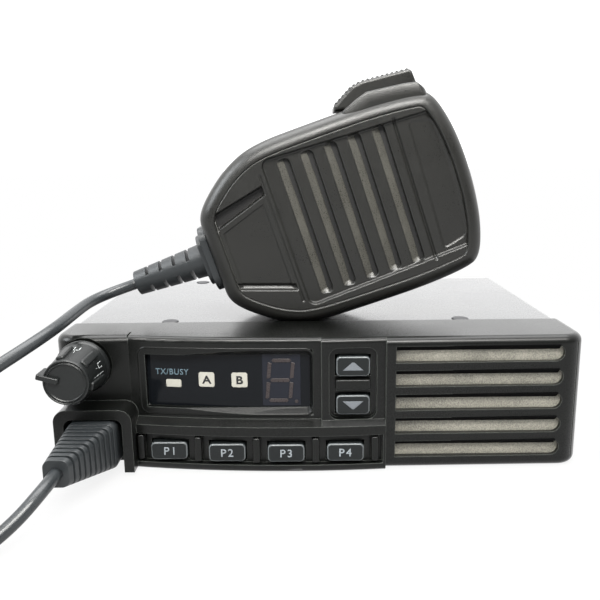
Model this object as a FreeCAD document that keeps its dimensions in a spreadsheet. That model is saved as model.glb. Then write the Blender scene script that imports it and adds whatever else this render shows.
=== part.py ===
import FreeCAD, Part
import math
import os
import Sketcher
from types import SimpleNamespace

# Mobile two-way radio with its fist microphone standing on the top cover.
# The radio's front faces -Y, its base lies on z = 0 and X runs to the right.

Vector = FreeCAD.Vector
doc = FreeCAD.newDocument("MobileRadio")
sheet = doc.addObject("Spreadsheet::Sheet", "sizes")

# Driving dimensions, in millimetres and degrees, by group
SIZES = {
    # whole radio, and the gaps and walls that many pieces share
    "radio_width": 160, "radio_height": 41, "radio_depth": 110, "fit_gap": 0.25, "seat_gap": 0.1,
    "turn_gap": 0.3,
    # moulded front panel; places along it are measured from the radio's left end, and the key
    # section's right end and its arrow keys from the split between the two sections
    "panel_depth": 23, "panel_wall": 2.2, "panel_edge_radius": 2.4, "shelf_edge_radius": 1.6,
    "corner_radius": 6.5, "corner_sweep": 0.8, "left_front_depth": 17.2, "right_front_depth": 22.8,
    "section_left": 23.2, "section_split": 81.5, "section_right": 19.2, "divider_half": 1.25,
    "front_radius": 312, "front_apex_x": 74.3, "shelf_reach": 2.2, "shelf_top": 14.5, "ledge_rise": 1.3,
    "display_setback": 3.7, "key_setback": 2.3, "section_wall": 4.8, "notch_width": 0.6,
    "notch_depth": 0.7, "notch_run": 5.2,
    # display window and what shows in it; heights are measured down from the radio's top
    "window_left": 28.2, "window_right": 78.1, "window_bottom": 22.1, "window_top": 5.4,
    "bezel_width": 2, "bezel_width_right": 0.9, "window_setback": 2, "window_thick": 1.3,
    "window_lip": 0.8, "digit_left": 63.7, "digit_right": 75.3, "digit_bottom": 21.7, "digit_top": 5.8,
    "busy_left": 34.4, "busy_width": 4.5, "busy_bottom": 15.6, "busy_height": 2.6,
    "lamp_a_left": 44.2, "lamp_b_left": 54.3, "lamp_width": 4.9, "lamp_bottom": 15.9, "lamp_height": 4.7,
    # keys; the lower row is measured up from the base, the arrow keys down from the top
    "key_travel": 0.8, "key_bevel": 0.6, "key_flange": 1.1, "key_stem": 3, "key_stem_height": 2,
    "key_stop_gap": 0.1, "key_rest_gap": 0.2, "key_flange_back": 4.9, "key_flange_thick": 1.2,
    "row_count": 4, "row_pitch": 17.8, "row_first_x": 35.1, "row_z": 6.3,
    "row_key_width": 11.2, "row_key_height": 5.7, "trough_bottom": 2.5, "trough_top": 11.6,
    "trough_depth": 2.2, "trough_left_edge": 1.5, "trough_right_edge": 0.9, "divider_width": 2.1,
    "divider_drop": 0.7, "divider_end_gap": 0.8, "arrow_x": 9.4,
    "arrow_key_width": 10.2, "arrow_key_height": 6.2, "arrow_up_z": 8.6, "arrow_down_z": 20.6,
    "arrow_bar_height": 2.6, "pocket_width": 14.2, "pocket_bottom": 25.1, "pocket_top": 2.9,
    "pocket_depth": 2, "pocket_radius": 2.8, "mat_thick": 1, "mat_edge": 2.5, "mat_reach": 4.3,
    "dome_height": 1.2, "dome_half": 2.2, "dome_taper": 0.8,
    # speaker and its grille; the slots start at a distance from the key section and end at one from
    # the right end, and the speaker sits that little to the right of their middle
    "slot_left": 2.9, "slot_right": 6.7, "slot_bottom": 3.8, "slot_pitch": 7.4, "slot_height": 5,
    "slot_count": 5, "mesh_thick": 0.6, "mesh_gap": 0.4, "speaker_x": 0.05, "speaker_z": 20.1,
    "speaker_radius": 16.8, "speaker_depth": 13, "speaker_ring": 1.6, "basket_step": 1, "basket_skin": 1.2,
    "speaker_skin": 0.8, "cone_step": 2.2, "cone_gap": 0.4, "cone_depth": 7, "cone_neck": 5,
    "cone_cap_radius": 7.9, "cone_cap_depth": 4, "magnet_radius": 9, "magnet_depth": 4.6,
    # volume knob and its control
    "knob_x": 9.6, "knob_z": 8.9, "knob_radius": 6.6, "knob_base_radius": 7, "knob_length": 17.6,
    "knob_rim": 0.7, "knob_dish": 0.5, "knob_recess_radius": 8.3, "knob_recess_depth": 0.8,
    "knob_wall": 1.6, "knob_room_depth": 6, "knob_boss_wall": 1.4, "skirt_length": 1.7, "skirt_gap": 0.7,
    "pointer_width": 2.2, "pointer_reach": 8.3, "pointer_root": 2.5, "pointer_rise": 0.5,
    "pointer_length": 6, "knob_grips": 6, "grip_width": 2.4, "grip_rise": 0.4, "grip_start": 1.8,
    "grip_length": 9, "knob_turn": 15, "shaft_radius": 3, "shaft_fit": 0.05, "shaft_short": 4,
    "shaft_tail": 3, "bush_radius": 3.7, "bush_reach": 0.8, "bush_room": 0.5, "control_width": 12,
    # microphone jack, its shroud and the plug
    "jack_x": 13.3, "jack_z": 10, "shroud_width": 23.4, "shroud_height": 19.8, "shroud_reach": 8.6,
    "shroud_wall": 3, "shroud_radius": 3.8, "shroud_base": 0.9, "jack_width": 14.6, "jack_height": 13.2,
    "jack_depth": 15, "jack_back": 1.5, "plug_width": 11.6, "plug_height": 6.6, "plug_end_gap": 0.5,
    "latch_width": 5.8, "latch_drop": 1.5, "latch_thick": 0.9, "latch_root": 2,
    "contact_count": 8, "contact_pitch": 1.02, "contact_width": 0.4, "wire_length": 9, "wire_thick": 0.4,
    "blade_length": 5.9, "blade_height": 1.2,
    "boot_width": 14.6, "boot_height": 14.4, "boot_front_y": 30.6, "boot_back_y": 3.3,
    "boot_straight": 6.5, "boot_end_width": 7, "boot_end_height": 7.8, "boot_end_x": 10.1,
    "boot_end_z": 11.4, "boot_corner": 2.2, "boot_ribs": 9, "boot_rib_depth": 0.6, "boot_rib_share": 0.6,
    # circuit board behind the panel, measured forwards from the seam, and the gasket at the seam
    "board_thick": 1.6, "panel_board_y": 9.4, "panel_board_bottom": 3.2, "panel_board_top": 2.8,
    "panel_board_edge": 4, "panel_board_step": 1.8, "board_room": 2, "jack_room": 0.6,
    "gasket_thick": 1.5, "gasket_width": 2,
    # die-cast chassis and its cover; the cover's top is measured down from the radio's
    "chassis_width": 157, "chassis_wall": 3, "chassis_floor": 4, "cover_top_z": 0.4, "cover_thick": 1.5,
    "cover_skirt": 11, "cover_gap": 0.2, "fin_depth": 9, "fin_thick": 2.1, "fin_bottom": 2,
    "fin_top_gap": 1, "fin_count": 19, "fin_edge": 2.05, "bracket_hole_radius": 1.65,
    "bracket_hole_depth": 6, "bracket_boss_radius": 5, "bracket_boss_wall": 2, "bracket_spacing": 40,
    "bracket_y": 6, "bracket_z": 20, "cover_screw_x": 30.7, "cover_screw_inset": 2.8, "screw_radius": 1.5,
    "screw_fit": 0.05, "screw_play": 0.3, "screw_head_radius": 2.6, "screw_length": 8,
    "screw_tip_room": 1, "cover_head_height": 1.1, "dimple_depth": 0.9, "dimple_gap": 0.15,
    "passage_half": 20, "passage_bottom": 12, "passage_top": 32,
    # main board, measured from the seam, the back wall and the chassis sides, and what it carries
    "main_board_z": 9, "board_side_gap": 5.5, "main_board_front": 8, "main_board_back": 7,
    "board_post_inset": 6, "board_post_radius": 4, "board_hole_depth": 5, "board_head_height": 1.8,
    "board_screw_length": 5.5, "shield_left": 62, "shield_front": 8, "shield_width": 58,
    "shield_depth": 38, "shield_height": 8, "shield_skin": 0.5, "module_right": 14, "module_back": 1,
    "module_width": 36, "module_depth": 11, "module_height": 6, "capacitor_left": 10,
    "capacitor_y": 34, "capacitor_pitch": 12, "capacitor_radius": 5, "capacitor_height": 16,
    # rear connectors; those at the two ends are measured from the chassis side next to them
    "power_x": 46.5, "power_width": 17, "power_height": 9, "accessory_x": 0, "accessory_width": 28,
    "accessory_height": 10, "antenna_x": 23.5, "antenna_radius": 4.75, "antenna_length": 9,
    "antenna_bore": 3.45, "antenna_flange": 15, "flange_thick": 1.6, "rear_z": 19, "connector_reach": 7,
    "connector_tail": 4, "connector_wall": 1.3, "connector_floor": 1, "bay_margin": 2.5, "bay_half": 9,
    "pin_drop": 1.2, "blade_pitch": 8, "blade_width": 2.6, "blade_thick": 1, "pin_rows": 2,
    "pin_columns": 8, "pin_pitch": 2.8, "pin_size": 0.8, "insulator_length": 6, "contact_radius": 0.85,
    "contact_length": 8, "contact_bore": 0.5, "contact_bore_depth": 4,
    # fist microphone, in its own frame: s along it towards the round end, t across, y through it
    "mic_tilt": 18.5, "mic_x": 8.35, "mic_y": -23.7, "mic_z": 34.5, "mic_left": 43.3,
    "mic_neck_half": 13.6, "mic_neck_radius": 10, "mic_shoulder": -25, "mic_shoulder_half": 30.9,
    "mic_shoulder_radius": 42, "mic_side": 14, "mic_side_half": 31.2, "mic_side_radius": 150,
    "mic_corner": 41.8, "mic_corner_half": 27.5, "mic_corner_radius": 9.5, "mic_right": 44.6,
    "mic_end_radius": 150, "mic_front_depth": 10.4, "mic_back_depth": 20.8,
    "mic_wall": 2.4, "mic_front_edge": 6, "mic_back_edge": 8, "face_left": -18.2, "face_right": 40.4,
    "face_half": 23.3, "face_corner": 3, "face_groove": 0.7, "groove_depth": 0.5,
    "mic_slot_first": -11.8, "mic_slot_pitch": 7.7, "mic_slot_count": 5, "mic_slot_width": 4,
    "mic_slot_half": 22.3, "mic_slot_depth": 1.5, "mic_slot_sink": 0.3, "mic_slit_width": 1.1,
    "mic_line_s": 24.9, "neck_left": -40.8, "neck_right": -20.2, "neck_left_half": 10.4,
    "neck_right_half": 16.8, "neck_sink": 1.4, "neck_panel_sink": 0.6, "badge_left": 28.6,
    "badge_right": 36.4, "badge_half": 20.2, "badge_taper": 1, "badge_arc": 73, "badge_sink": 0.5,
    "capsule_s": -4, "capsule_radius": 4.85, "capsule_depth": 5, "holder_wall": 1.6, "mesh_edge": 2,
    "mic_mesh_thick": 0.5, "mic_board_y": 5, "mic_board_left": -36, "mic_board_right": 38,
    "mic_board_neck_half": 8, "mic_board_shoulder": -22, "mic_board_bevel": 4, "mic_screw_s": 30,
    "mic_screw_t": 19, "mic_neck_screw_s": -33, "front_boss_radius": 2.8, "front_hole_radius": 1.05,
    "rear_boss_radius": 3.6, "rear_hole_radius": 1.25, "head_room_radius": 2.5, "mic_head_radius": 2.2,
    "mic_head_height": 1.6, "mic_head_y": 10, "mic_shank_radius": 1, "mic_shank_length": 15.5,
    "boss_board_gap": 0.3, "switch_s": 18, "switch_length": 6, "switch_depth": 3.6, "switch_low": 15,
    "switch_top": 20, "plunger_size": 2, "plunger_rise": 1, "hang_radius": 6.2, "hang_neck_radius": 4,
    "hang_reach": 4.5, "hang_head": 2.2, "hang_bevel": 0.6,
    # push-to-talk lever on the upper edge
    "ptt_left": 9.8, "ptt_ramp": 19.5, "ptt_right": 37, "ptt_top": 36.9, "ptt_width": 13,
    "ptt_front": -3.5, "ptt_root": 24.5, "ptt_pivot_s": 12.2, "ptt_pivot_t": 27, "ptt_pivot_radius": 2.2,
    "ptt_trunnion": 0.2, "ptt_gap": 0.35, "ptt_end_gap": 0.9, "ptt_nose": 5.4,
    "ptt_end_height": 6, "ptt_end_lean": 1.2, "ptt_slope": 0.6, "ptt_rib_count": 6,
    "ptt_rib_height": 0.5, "ptt_rib_width": 1, "ptt_rib_edge": 1, "ptt_edge_radius": 1, "ptt_collar": 1.8,
    "collar_root": 6, "collar_left_drop": 1.6, "collar_right_drop": 2.4,
    # strain relief and cord
    "relief_y": 1.9, "relief_length": 28.2, "relief_radius": 5.7, "relief_end_radius": 4.1,
    "relief_flange": 2.2, "relief_flange_half": 10.8, "relief_flange_depth": 8, "relief_flange_radius": 5,
    "relief_step": 1.6, "relief_step_half": 8.4, "relief_step_depth": 6.4, "relief_step_radius": 4,
    "relief_slots": 4, "relief_slot_width": 1.2, "relief_web": 1.7, "cord_radius": 1.8,
    "curl_radius": 3.7, "curl_pitch": 4.6, "curl_leg": 24, "curl_bend": 36, "curl_lead": 9,
    "curl_lift": 0.3, "curl_start_x": -106, "curl_start_y": -84, "curl_heading": 112.3,
}

for row, (name, number) in enumerate(SIZES.items(), start=1):
    sheet.set(f"A{row}", name)
    sheet.set(f"B{row}", str(number))
    sheet.setAlias(f"B{row}", name)
doc.recompute()


class Size:
    """A length that knows both its number and the sheet expression that gives it."""

    def __init__(self, text, number):
        self.text = text
        self.number = number

    def __add__(self, other):
        other = as_size(other)
        return Size(f"({self.text} + {other.text})", self.number + other.number)

    def __sub__(self, other):
        other = as_size(other)
        return Size(f"({self.text} - {other.text})", self.number - other.number)

    def __mul__(self, other):
        other = as_size(other)
        return Size(f"({self.text} * {other.text})", self.number * other.number)

    def __truediv__(self, other):
        other = as_size(other)
        return Size(f"({self.text} / {other.text})", self.number / other.number)

    def __radd__(self, other):
        return as_size(other) + self

    def __rsub__(self, other):
        return as_size(other) - self

    def __rmul__(self, other):
        return as_size(other) * self

    def __neg__(self):
        return Size(f"(-{self.text})", -self.number)


def as_size(value):
    if isinstance(value, Size):
        return value
    return Size(f"({value})", float(value))


d = SimpleNamespace(**{name: Size(f"sizes.{name}", float(sheet.get(name))) for name in SIZES})
parts = []


def root(size):
    return Size(f"sqrt{size.text}", math.sqrt(size.number))


def bind(thing, **sizes):
    """Bind properties to sheet expressions: x, y and z stand for the placement."""
    for name, size in sizes.items():
        path = f"Placement.Base.{name}" if name in "xyz" else name
        thing.setExpression(path, as_size(size).text)
    return thing


def box(name, low, high):
    """Block between two corners, each a triple of sizes."""
    low = [as_size(v) for v in low]
    high = [as_size(v) for v in high]
    made = doc.addObject("Part::Box", name)
    bind(made, Length=high[0] - low[0], Width=high[1] - low[1], Height=high[2] - low[2])
    return bind(made, x=low[0], y=low[1], z=low[2])


def rod(name, radius, length, start, axis="z"):
    """Round bar from its start point along +X, +Y or +Z."""
    made = doc.addObject("Part::Cylinder", name)
    turn = {"x": (Vector(0, 1, 0), 90), "y": (Vector(1, 0, 0), -90), "z": (Vector(0, 0, 1), 0)}[axis]
    made.Placement.Rotation = FreeCAD.Rotation(*turn)
    bind(made, Radius=radius, Height=length)
    return bind(made, x=start[0], y=start[1], z=start[2])


def many_sided(name, radius, length, start, sides=8):
    """Upright bar with flat sides, its corners at the radius."""
    made = doc.addObject("Part::Prism", name)
    made.Polygon = sides
    bind(made, Circumradius=radius, Height=length)
    return bind(made, x=start[0], y=start[1], z=start[2])


def cone(name, radius_1, radius_2, length, start, axis="z"):
    """Round taper from its start point along +X, +Y or +Z."""
    made = doc.addObject("Part::Cone", name)
    turn = {"x": (Vector(0, 1, 0), 90), "y": (Vector(1, 0, 0), -90), "z": (Vector(0, 0, 1), 0)}[axis]
    made.Placement.Rotation = FreeCAD.Rotation(*turn)
    bind(made, Radius1=radius_1, Radius2=radius_2, Height=length)
    return bind(made, x=start[0], y=start[1], z=start[2])


def frustum(name, low, high, y_front, y_back, low_2, high_2):
    """Block whose front rectangle shrinks or grows to its back rectangle, along +Y."""
    made = doc.addObject("Part::Wedge", name)
    bind(made, Xmin=low[0], Zmin=low[1], Xmax=high[0], Zmax=high[1], Ymin=y_front, Ymax=y_back)
    return bind(made, X2min=low_2[0], Z2min=low_2[1], X2max=high_2[0], Z2max=high_2[1])


def join(name, *pieces):
    made = doc.addObject("Part::MultiFuse", name)
    made.Shapes = list(pieces)
    return made


def cut(name, base, *tools):
    made = doc.addObject("Part::Cut", name)
    made.Base = base
    made.Tool = tools[0] if len(tools) == 1 else join(f"{name}_tools", *tools)
    return made


def overlap(name, first, second):
    made = doc.addObject("Part::MultiCommon", name)
    made.Shapes = [first, second]
    return made


def bunch(name, *pieces):
    made = doc.addObject("Part::Compound", name)
    made.Links = list(pieces)
    return made


def rounded(name, base, radius, chosen):
    """Fillet the edges whose centre and box pass the test."""
    doc.recompute()
    made = doc.addObject("Part::Fillet", name)
    made.Base = base
    edges = enumerate(base.Shape.Edges, start=1)
    made.Edges = [(i, radius.number, radius.number) for i, e in edges if chosen(e)]
    return made


def bevelled(name, base, width, chosen):
    """Chamfer the edges whose centre and box pass the test."""
    doc.recompute()
    made = doc.addObject("Part::Chamfer", name)
    made.Base = base
    edges = enumerate(base.Shape.Edges, start=1)
    made.Edges = [(i, width.number, width.number) for i, e in edges if chosen(e)]
    return made


def part(name, thing):
    """Name a finished piece and keep it for the export."""
    thing.Label = name
    parts.append(thing)
    return thing


def outline(sketch, corners):
    """Closed outline from corners (x, y) or (x, y, radius, side).

    With a radius, the segment that leaves the corner is an arc; side is 1 where it bulges to the left
    of the way from this corner to the next, and -1 where it bulges to the right.
    """
    corners = [tuple(as_size(v) for v in corner[:3]) + tuple(corner[3:]) for corner in corners]
    ends = []
    for corner, following in zip(corners, corners[1:] + corners[:1]):
        start = Vector(corner[0].number, corner[1].number, 0)
        end = Vector(following[0].number, following[1].number, 0)
        if len(corner) == 2:
            index = sketch.addGeometry(Part.LineSegment(start, end))
            ends.append((index, 1, 2))
            continue
        radius, side = corner[2], corner[3]
        chord = end - start
        sagitta = radius.number - math.sqrt(radius.number**2 - chord.Length**2 / 4)
        left = Vector(-chord.y, chord.x, 0).normalize()
        index = sketch.addGeometry(Part.Arc(start, (start + end) / 2 + left * (side * sagitta), end))
        forward = (sketch.getPoint(index, 1) - start).Length < (sketch.getPoint(index, 2) - start).Length
        ends.append((index, 1, 2) if forward else (index, 2, 1))
        fixed = sketch.addConstraint(Sketcher.Constraint("Radius", index, radius.number))
        sketch.setExpression(f"Constraints[{fixed}]", radius.text)
    for (index, _, last), (after, first, _) in zip(ends, ends[1:] + ends[:1]):
        sketch.addConstraint(Sketcher.Constraint("Coincident", index, last, after, first))
    for (index, first, _), corner in zip(ends, corners):
        for kind, size in (("DistanceX", corner[0]), ("DistanceY", corner[1])):
            fixed = sketch.addConstraint(Sketcher.Constraint(kind, -1, 1, index, first, size.number))
            sketch.setExpression(f"Constraints[{fixed}]", size.text)
    return sketch


def smooth_outline(sketch, corners):
    """Closed outline whose every corner (x, y, radius) is rounded by a tangent arc."""
    corners = [tuple(as_size(v) for v in corner) for corner in corners]
    spots = [Vector(c[0].number, c[1].number, 0) for c in corners]
    arcs = []
    for i, spot in enumerate(spots):
        radius = corners[i][2].number
        back = (spots[i - 1] - spot).normalize()
        ahead = (spots[(i + 1) % len(spots)] - spot).normalize()
        half = back.getAngle(ahead) / 2
        reach = radius / math.tan(half)
        middle = (back + ahead).normalize() * (radius / math.sin(half) - radius)
        arcs.append((spot + back * reach, spot + middle, spot + ahead * reach))
    bends = [sketch.addGeometry(Part.Arc(*points)) for points in arcs]
    sides = [sketch.addGeometry(Part.LineSegment(arcs[i - 1][2], arcs[i][0])) for i in range(len(arcs))]
    for i, bend in enumerate(bends):
        before, after = sides[i], sides[(i + 1) % len(sides)]
        near, far = (sketch.getPoint(bend, end) - arcs[i][0] for end in (1, 2))
        forward = near.Length < far.Length
        first, last = (1, 2) if forward else (2, 1)
        sketch.addConstraint(Sketcher.Constraint("Tangent", before, 2, bend, first))
        sketch.addConstraint(Sketcher.Constraint("Tangent", bend, last, after, 1))
        tip = sketch.addGeometry(Part.Point(spots[i]), True)
        sketch.addConstraint(Sketcher.Constraint("PointOnObject", tip, 1, before))
        sketch.addConstraint(Sketcher.Constraint("PointOnObject", tip, 1, after))
        fixed = sketch.addConstraint(Sketcher.Constraint("Radius", bend, corners[i][2].number))
        sketch.setExpression(f"Constraints[{fixed}]", corners[i][2].text)
        for kind, size in (("DistanceX", corners[i][0]), ("DistanceY", corners[i][1])):
            fixed = sketch.addConstraint(Sketcher.Constraint(kind, -1, 1, tip, 1, size.number))
            sketch.setExpression(f"Constraints[{fixed}]", size.text)
    return sketch


def rectangle(left, bottom, right, top):
    return [(left, bottom), (right, bottom), (right, top), (left, top)]


def rounded_rectangle(left, bottom, right, top, radius):
    """Corner list of a rectangle whose four corners are quarter arcs."""
    return [
        (left + radius, bottom), (right - radius, bottom, radius, -1),
        (right, bottom + radius), (right, top - radius, radius, -1),
        (right - radius, top), (left + radius, top, radius, -1),
        (left, top - radius), (left, bottom + radius, radius, -1),
    ]


def cut_rectangle(left, bottom, right, top, corner):
    """Corner list of a rectangle whose four corners are cut off."""
    return [
        (left + corner, bottom), (right - corner, bottom), (right, bottom + corner), (right, top - corner),
        (right - corner, top), (left + corner, top), (left, top - corner), (left, bottom + corner),
    ]


def slab(name, corners, start, length, plane="XY", way=-1, draw=outline):
    """Sketched outline, extruded from start: upwards from level XY, or forwards (way -1) from upright XZ."""
    sketch = doc.addObject("Sketcher::SketchObject", f"{name}_sketch")
    if plane == "XZ":
        sketch.Placement = FreeCAD.Placement(Vector(), FreeCAD.Rotation(Vector(1, 0, 0), 90))
        bind(sketch, y=start)
    else:
        bind(sketch, z=start)
    draw(sketch, corners)
    made = doc.addObject("Part::Extrusion", name)
    made.Base = sketch
    made.Dir = Vector(0, way, 0) if plane == "XZ" else Vector(0, 0, 1)
    made.DirMode = "Custom"
    made.Solid = True
    return bind(made, LengthFwd=length)


# Places that several pieces share
over = 1
through = 12
half_width = d.radio_width / 2
front_y = -d.radio_depth / 2
rear_y = d.radio_depth / 2
seam_y = front_y + d.panel_depth
wall_back_y = rear_y - d.fin_depth
shelf_y = front_y - d.shelf_reach
drum_y = shelf_y + d.front_radius
left_y = seam_y - d.left_front_depth
right_y = seam_y - d.right_front_depth
half_chassis = d.chassis_width / 2
inner_radius = d.front_radius - d.display_setback - d.section_wall


def placed(origin, sign, names):
    """Places that are given as distances from an origin, by name."""
    return {name: origin + getattr(d, name) * sign for name in names.split()}


at = SimpleNamespace(
    **placed(-half_width, 1, "section_left section_split front_apex_x window_left window_right digit_left "
                             "digit_right busy_left lamp_a_left lamp_b_left row_first_x knob_x jack_x "
                             "boot_end_x"),
    **placed(half_width, -1, "slot_right"),
    **placed(d.radio_height, -1, "window_bottom window_top digit_bottom digit_top busy_bottom lamp_bottom "
                                 "arrow_up_z arrow_down_z pocket_bottom pocket_top speaker_z knob_z "
                                 "panel_board_top cover_top_z"),
    **placed(seam_y, -1, "panel_board_y"),
    **placed(left_y, -1, "boot_front_y boot_back_y"),
    **placed(seam_y, 1, "main_board_front"),
    **placed(wall_back_y, -1, "main_board_back"),
    **placed(half_chassis, -1, "cover_screw_x antenna_x"),
    **placed(-half_chassis, 1, "power_x"),
)
at.section_right = at.section_split + d.section_right
at.arrow_x = at.section_split + d.arrow_x
at.slot_left = at.section_right + d.slot_left
at.speaker_x = (at.slot_left + at.slot_right) / 2 + d.speaker_x
at.mic_z = at.cover_top_z + d.mic_z
board_back_y = at.panel_board_y + d.board_thick
mat_y = at.panel_board_y - d.mat_thick


def arc_y(radius, x):
    """Y of a front surface of that radius about the section's upright axis, at x."""
    reach = as_size(x) - at.front_apex_x
    return drum_y - root(radius * radius - reach * reach)


def drum(name, radius, bottom, top):
    return rod(name, radius, top - bottom, (at.front_apex_x, drum_y, bottom))


def hollow_drum(name, outer, inner, low, high):
    """Stretch of a curved wall between two radii, cut to a box given by (x, z) corners."""
    wall = cut(f"{name}_wall", drum(f"{name}_outer", outer, low[1], high[1]),
               drum(f"{name}_inner", inner, low[1], high[1]))
    span = box(f"{name}_span", (low[0], front_y - through, low[1]), (high[0], seam_y, high[1]))
    return overlap(name, wall, span)


# Front panel: one moulding in four sections, with its openings cut from it

def curved_section(name, left, right, setback):
    """Bulging stretch of the panel: a drum stepped in above the key shelf, with a sloping ledge."""
    upper = d.front_radius - setback
    shelf = drum(f"{name}_shelf", d.front_radius, as_size(0), d.shelf_top)
    ledge = cone(f"{name}_ledge", d.front_radius, upper, d.ledge_rise, (at.front_apex_x, drum_y, d.shelf_top))
    ledge_top = d.shelf_top + d.ledge_rise
    face = drum(f"{name}_face", upper, ledge_top, d.radio_height)
    stack = join(f"{name}_stack", shelf, ledge, face)
    height = d.radio_height.number
    stack = rounded(f"{name}_soft", stack, d.shelf_edge_radius,
                    lambda e: e.BoundBox.ZLength < 0.01 and min(e.BoundBox.ZMin,
                                                                height - e.BoundBox.ZMin) < 0.01)
    span = box(f"{name}_span", (left, front_y - through, 0), (right, left_y + d.panel_wall, d.radio_height))
    return overlap(name, stack, span)


def is_outer_edge(edge, left, right):
    """Level edges at the top and bottom of a blank, but for those at the seam and at a joint."""
    centre = edge.BoundBox.Center
    level = edge.BoundBox.ZLength < 0.01
    at_seam = centre.y > seam_y.number - 0.1
    return level and not at_seam and left < centre.x < right


def panel_blank():
    radius = d.corner_radius
    joint = at.section_right.number
    left = slab("left_blank_plan", [
        (-half_width, seam_y), (-half_width, left_y + radius, radius, -1), (radius - half_width, left_y),
        (at.section_right, left_y), (at.section_right, seam_y),
    ], 0, d.radio_height)
    left = rounded("left_blank", left, d.panel_edge_radius,
                   lambda e: is_outer_edge(e, -math.inf, joint - 0.1))
    right = slab("right_blank_plan", [
        (at.section_right, seam_y), (at.section_right, right_y),
        (half_width - radius, right_y + d.corner_sweep, radius, -1),
        (half_width, right_y + radius + d.corner_sweep), (half_width, seam_y),
    ], 0, d.radio_height)
    right = rounded("right_blank", right, d.panel_edge_radius,
                    lambda e: is_outer_edge(e, joint + 0.1, math.inf))
    display = curved_section("display_section", at.section_left, at.section_split, d.display_setback)
    keys = curved_section("key_section", at.section_split, at.section_right, d.key_setback)
    return join("panel_blank", left, right, display, keys, shroud())


def shroud_outline(inset):
    """Sides, top and corner radius of the jack's shroud, drawn in by inset."""
    left = at.jack_x - d.shroud_width / 2 + inset
    right = at.jack_x + d.shroud_width / 2 - inset
    top = d.shroud_base + d.shroud_height - inset
    return left, right, top, d.shroud_radius - inset / 2


def shroud_slab(name, inset, bottom, back_y, length):
    """Upturned U: round at its two upper corners, square below."""
    left, right, top, radius = shroud_outline(inset)
    return slab(name, [
        (left, bottom), (right, bottom), (right, top - radius, radius, -1),
        (right - radius, top), (left + radius, top, radius, -1), (left, top - radius),
    ], back_y, length, "XZ")


def shroud():
    return shroud_slab("shroud_block", as_size(0), d.shroud_base, left_y + over, d.shroud_reach + over)


def shroud_room():
    """What is cut from inside the shroud, down to the open bottom."""
    return shroud_slab("shroud_room", d.shroud_wall, -over, left_y, d.shroud_reach + over)


def window_cuts():
    """Sloping bezel, the opening itself and the seat that takes the window from behind."""
    bevel = d.bezel_width
    front = d.front_radius - d.display_setback - d.window_setback
    lip = d.window_lip
    pane_y = arc_y(front, at.front_apex_x)
    bezel = frustum("bezel_cut", (at.window_left - bevel, at.window_bottom - bevel),
                    (at.window_right + d.bezel_width_right, at.window_top + bevel), pane_y - d.window_setback,
                    pane_y, (at.window_left, at.window_bottom), (at.window_right, at.window_top))
    opening = box("window_opening", (at.window_left, front_y, at.window_bottom),
                  (at.window_right, left_y + through, at.window_top))
    seat = hollow_drum("window_seat", front, inner_radius - over,
                       (at.window_left - lip, at.window_bottom - lip),
                       (at.window_right + lip, at.window_top + lip))
    return [bezel, opening, seat]


class KeySpot:
    """Where one key goes: its centre, its size and the y of its front face."""

    def __init__(self, name, x, z, width, height, face_radius):
        self.name = name
        self.x = as_size(x)
        self.z = as_size(z)
        self.width = width
        self.height = height
        self.front = arc_y(face_radius, self.x)
        self.flange_front = self.front + d.key_flange_back

    def block(self, name, margin, y_front, y_back):
        low = (self.x - self.width / 2 - margin, y_front, self.z - self.height / 2 - margin)
        high = (self.x + self.width / 2 + margin, y_back, self.z + self.height / 2 + margin)
        return box(name, low, high)


arrow_face = d.front_radius - d.key_setback
key_spots = [
    KeySpot(f"key_p{i + 1}", at.row_first_x + d.row_pitch * i, d.row_z, d.row_key_width, d.row_key_height,
            d.front_radius)
    for i in range(int(d.row_count.number))
]
for key_name, key_z in (("up_key", at.arrow_up_z), ("down_key", at.arrow_down_z)):
    key_spots.append(KeySpot(key_name, at.arrow_x, key_z, d.arrow_key_width, d.arrow_key_height, arrow_face))


def key_cuts():
    """For each key a hole through the wall and a wider pocket behind it for the key's flange."""
    cuts = []
    for spot in key_spots:
        cuts.append(spot.block(f"{spot.name}_hole", d.fit_gap, spot.front - 2 * over, at.panel_board_y))
        flange = d.key_flange + d.fit_gap
        cuts.append(spot.block(f"{spot.name}_pocket", flange, spot.flange_front - d.key_stop_gap,
                               seam_y - over))
    return cuts


def trough_cut():
    """Curved trough that the lower row of keys stands in, less the ribs between the keys."""
    floor = d.front_radius - d.trough_depth
    left = at.section_left + d.trough_left_edge
    right = at.section_right - d.trough_right_edge
    trough = hollow_drum("trough", d.front_radius + over, floor, (left, d.trough_bottom),
                         (right, d.trough_top))
    ribs = []
    for i in range(int(d.row_count.number) + 1):
        x = at.row_first_x + d.row_pitch * (i - 0.5)
        ribs.append(box(f"rib_{i}", (x - d.divider_width / 2, front_y - through,
                                     d.trough_bottom + d.divider_end_gap),
                        (x + d.divider_width / 2, seam_y, d.trough_top - d.divider_end_gap)))
    rib_face = drum("rib_face", d.front_radius - d.divider_drop, as_size(0), d.shelf_top)
    kept = overlap("row_ribs", rib_face, join("rib_blocks", *ribs))
    return cut("trough_cut", trough, kept)


def arrow_pocket():
    """Rounded recess around the two arrow keys, less the bar between them."""
    half = d.pocket_width / 2
    half_bar = d.arrow_key_width / 2
    floor_y = arc_y(arrow_face, at.arrow_x) + d.pocket_depth
    plan = rounded_rectangle(at.arrow_x - half, at.pocket_bottom, at.arrow_x + half, at.pocket_top,
                             d.pocket_radius)
    recess = slab("arrow_recess", plan, floor_y, through, "XZ")
    bar_bottom = (at.arrow_up_z + at.arrow_down_z - d.arrow_bar_height) / 2
    bar = box("arrow_bar", (at.arrow_x - half_bar, floor_y - d.pocket_depth, bar_bottom),
              (at.arrow_x + half_bar, floor_y + over, bar_bottom + d.arrow_bar_height))
    return cut("arrow_pocket", recess, bar)


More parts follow.
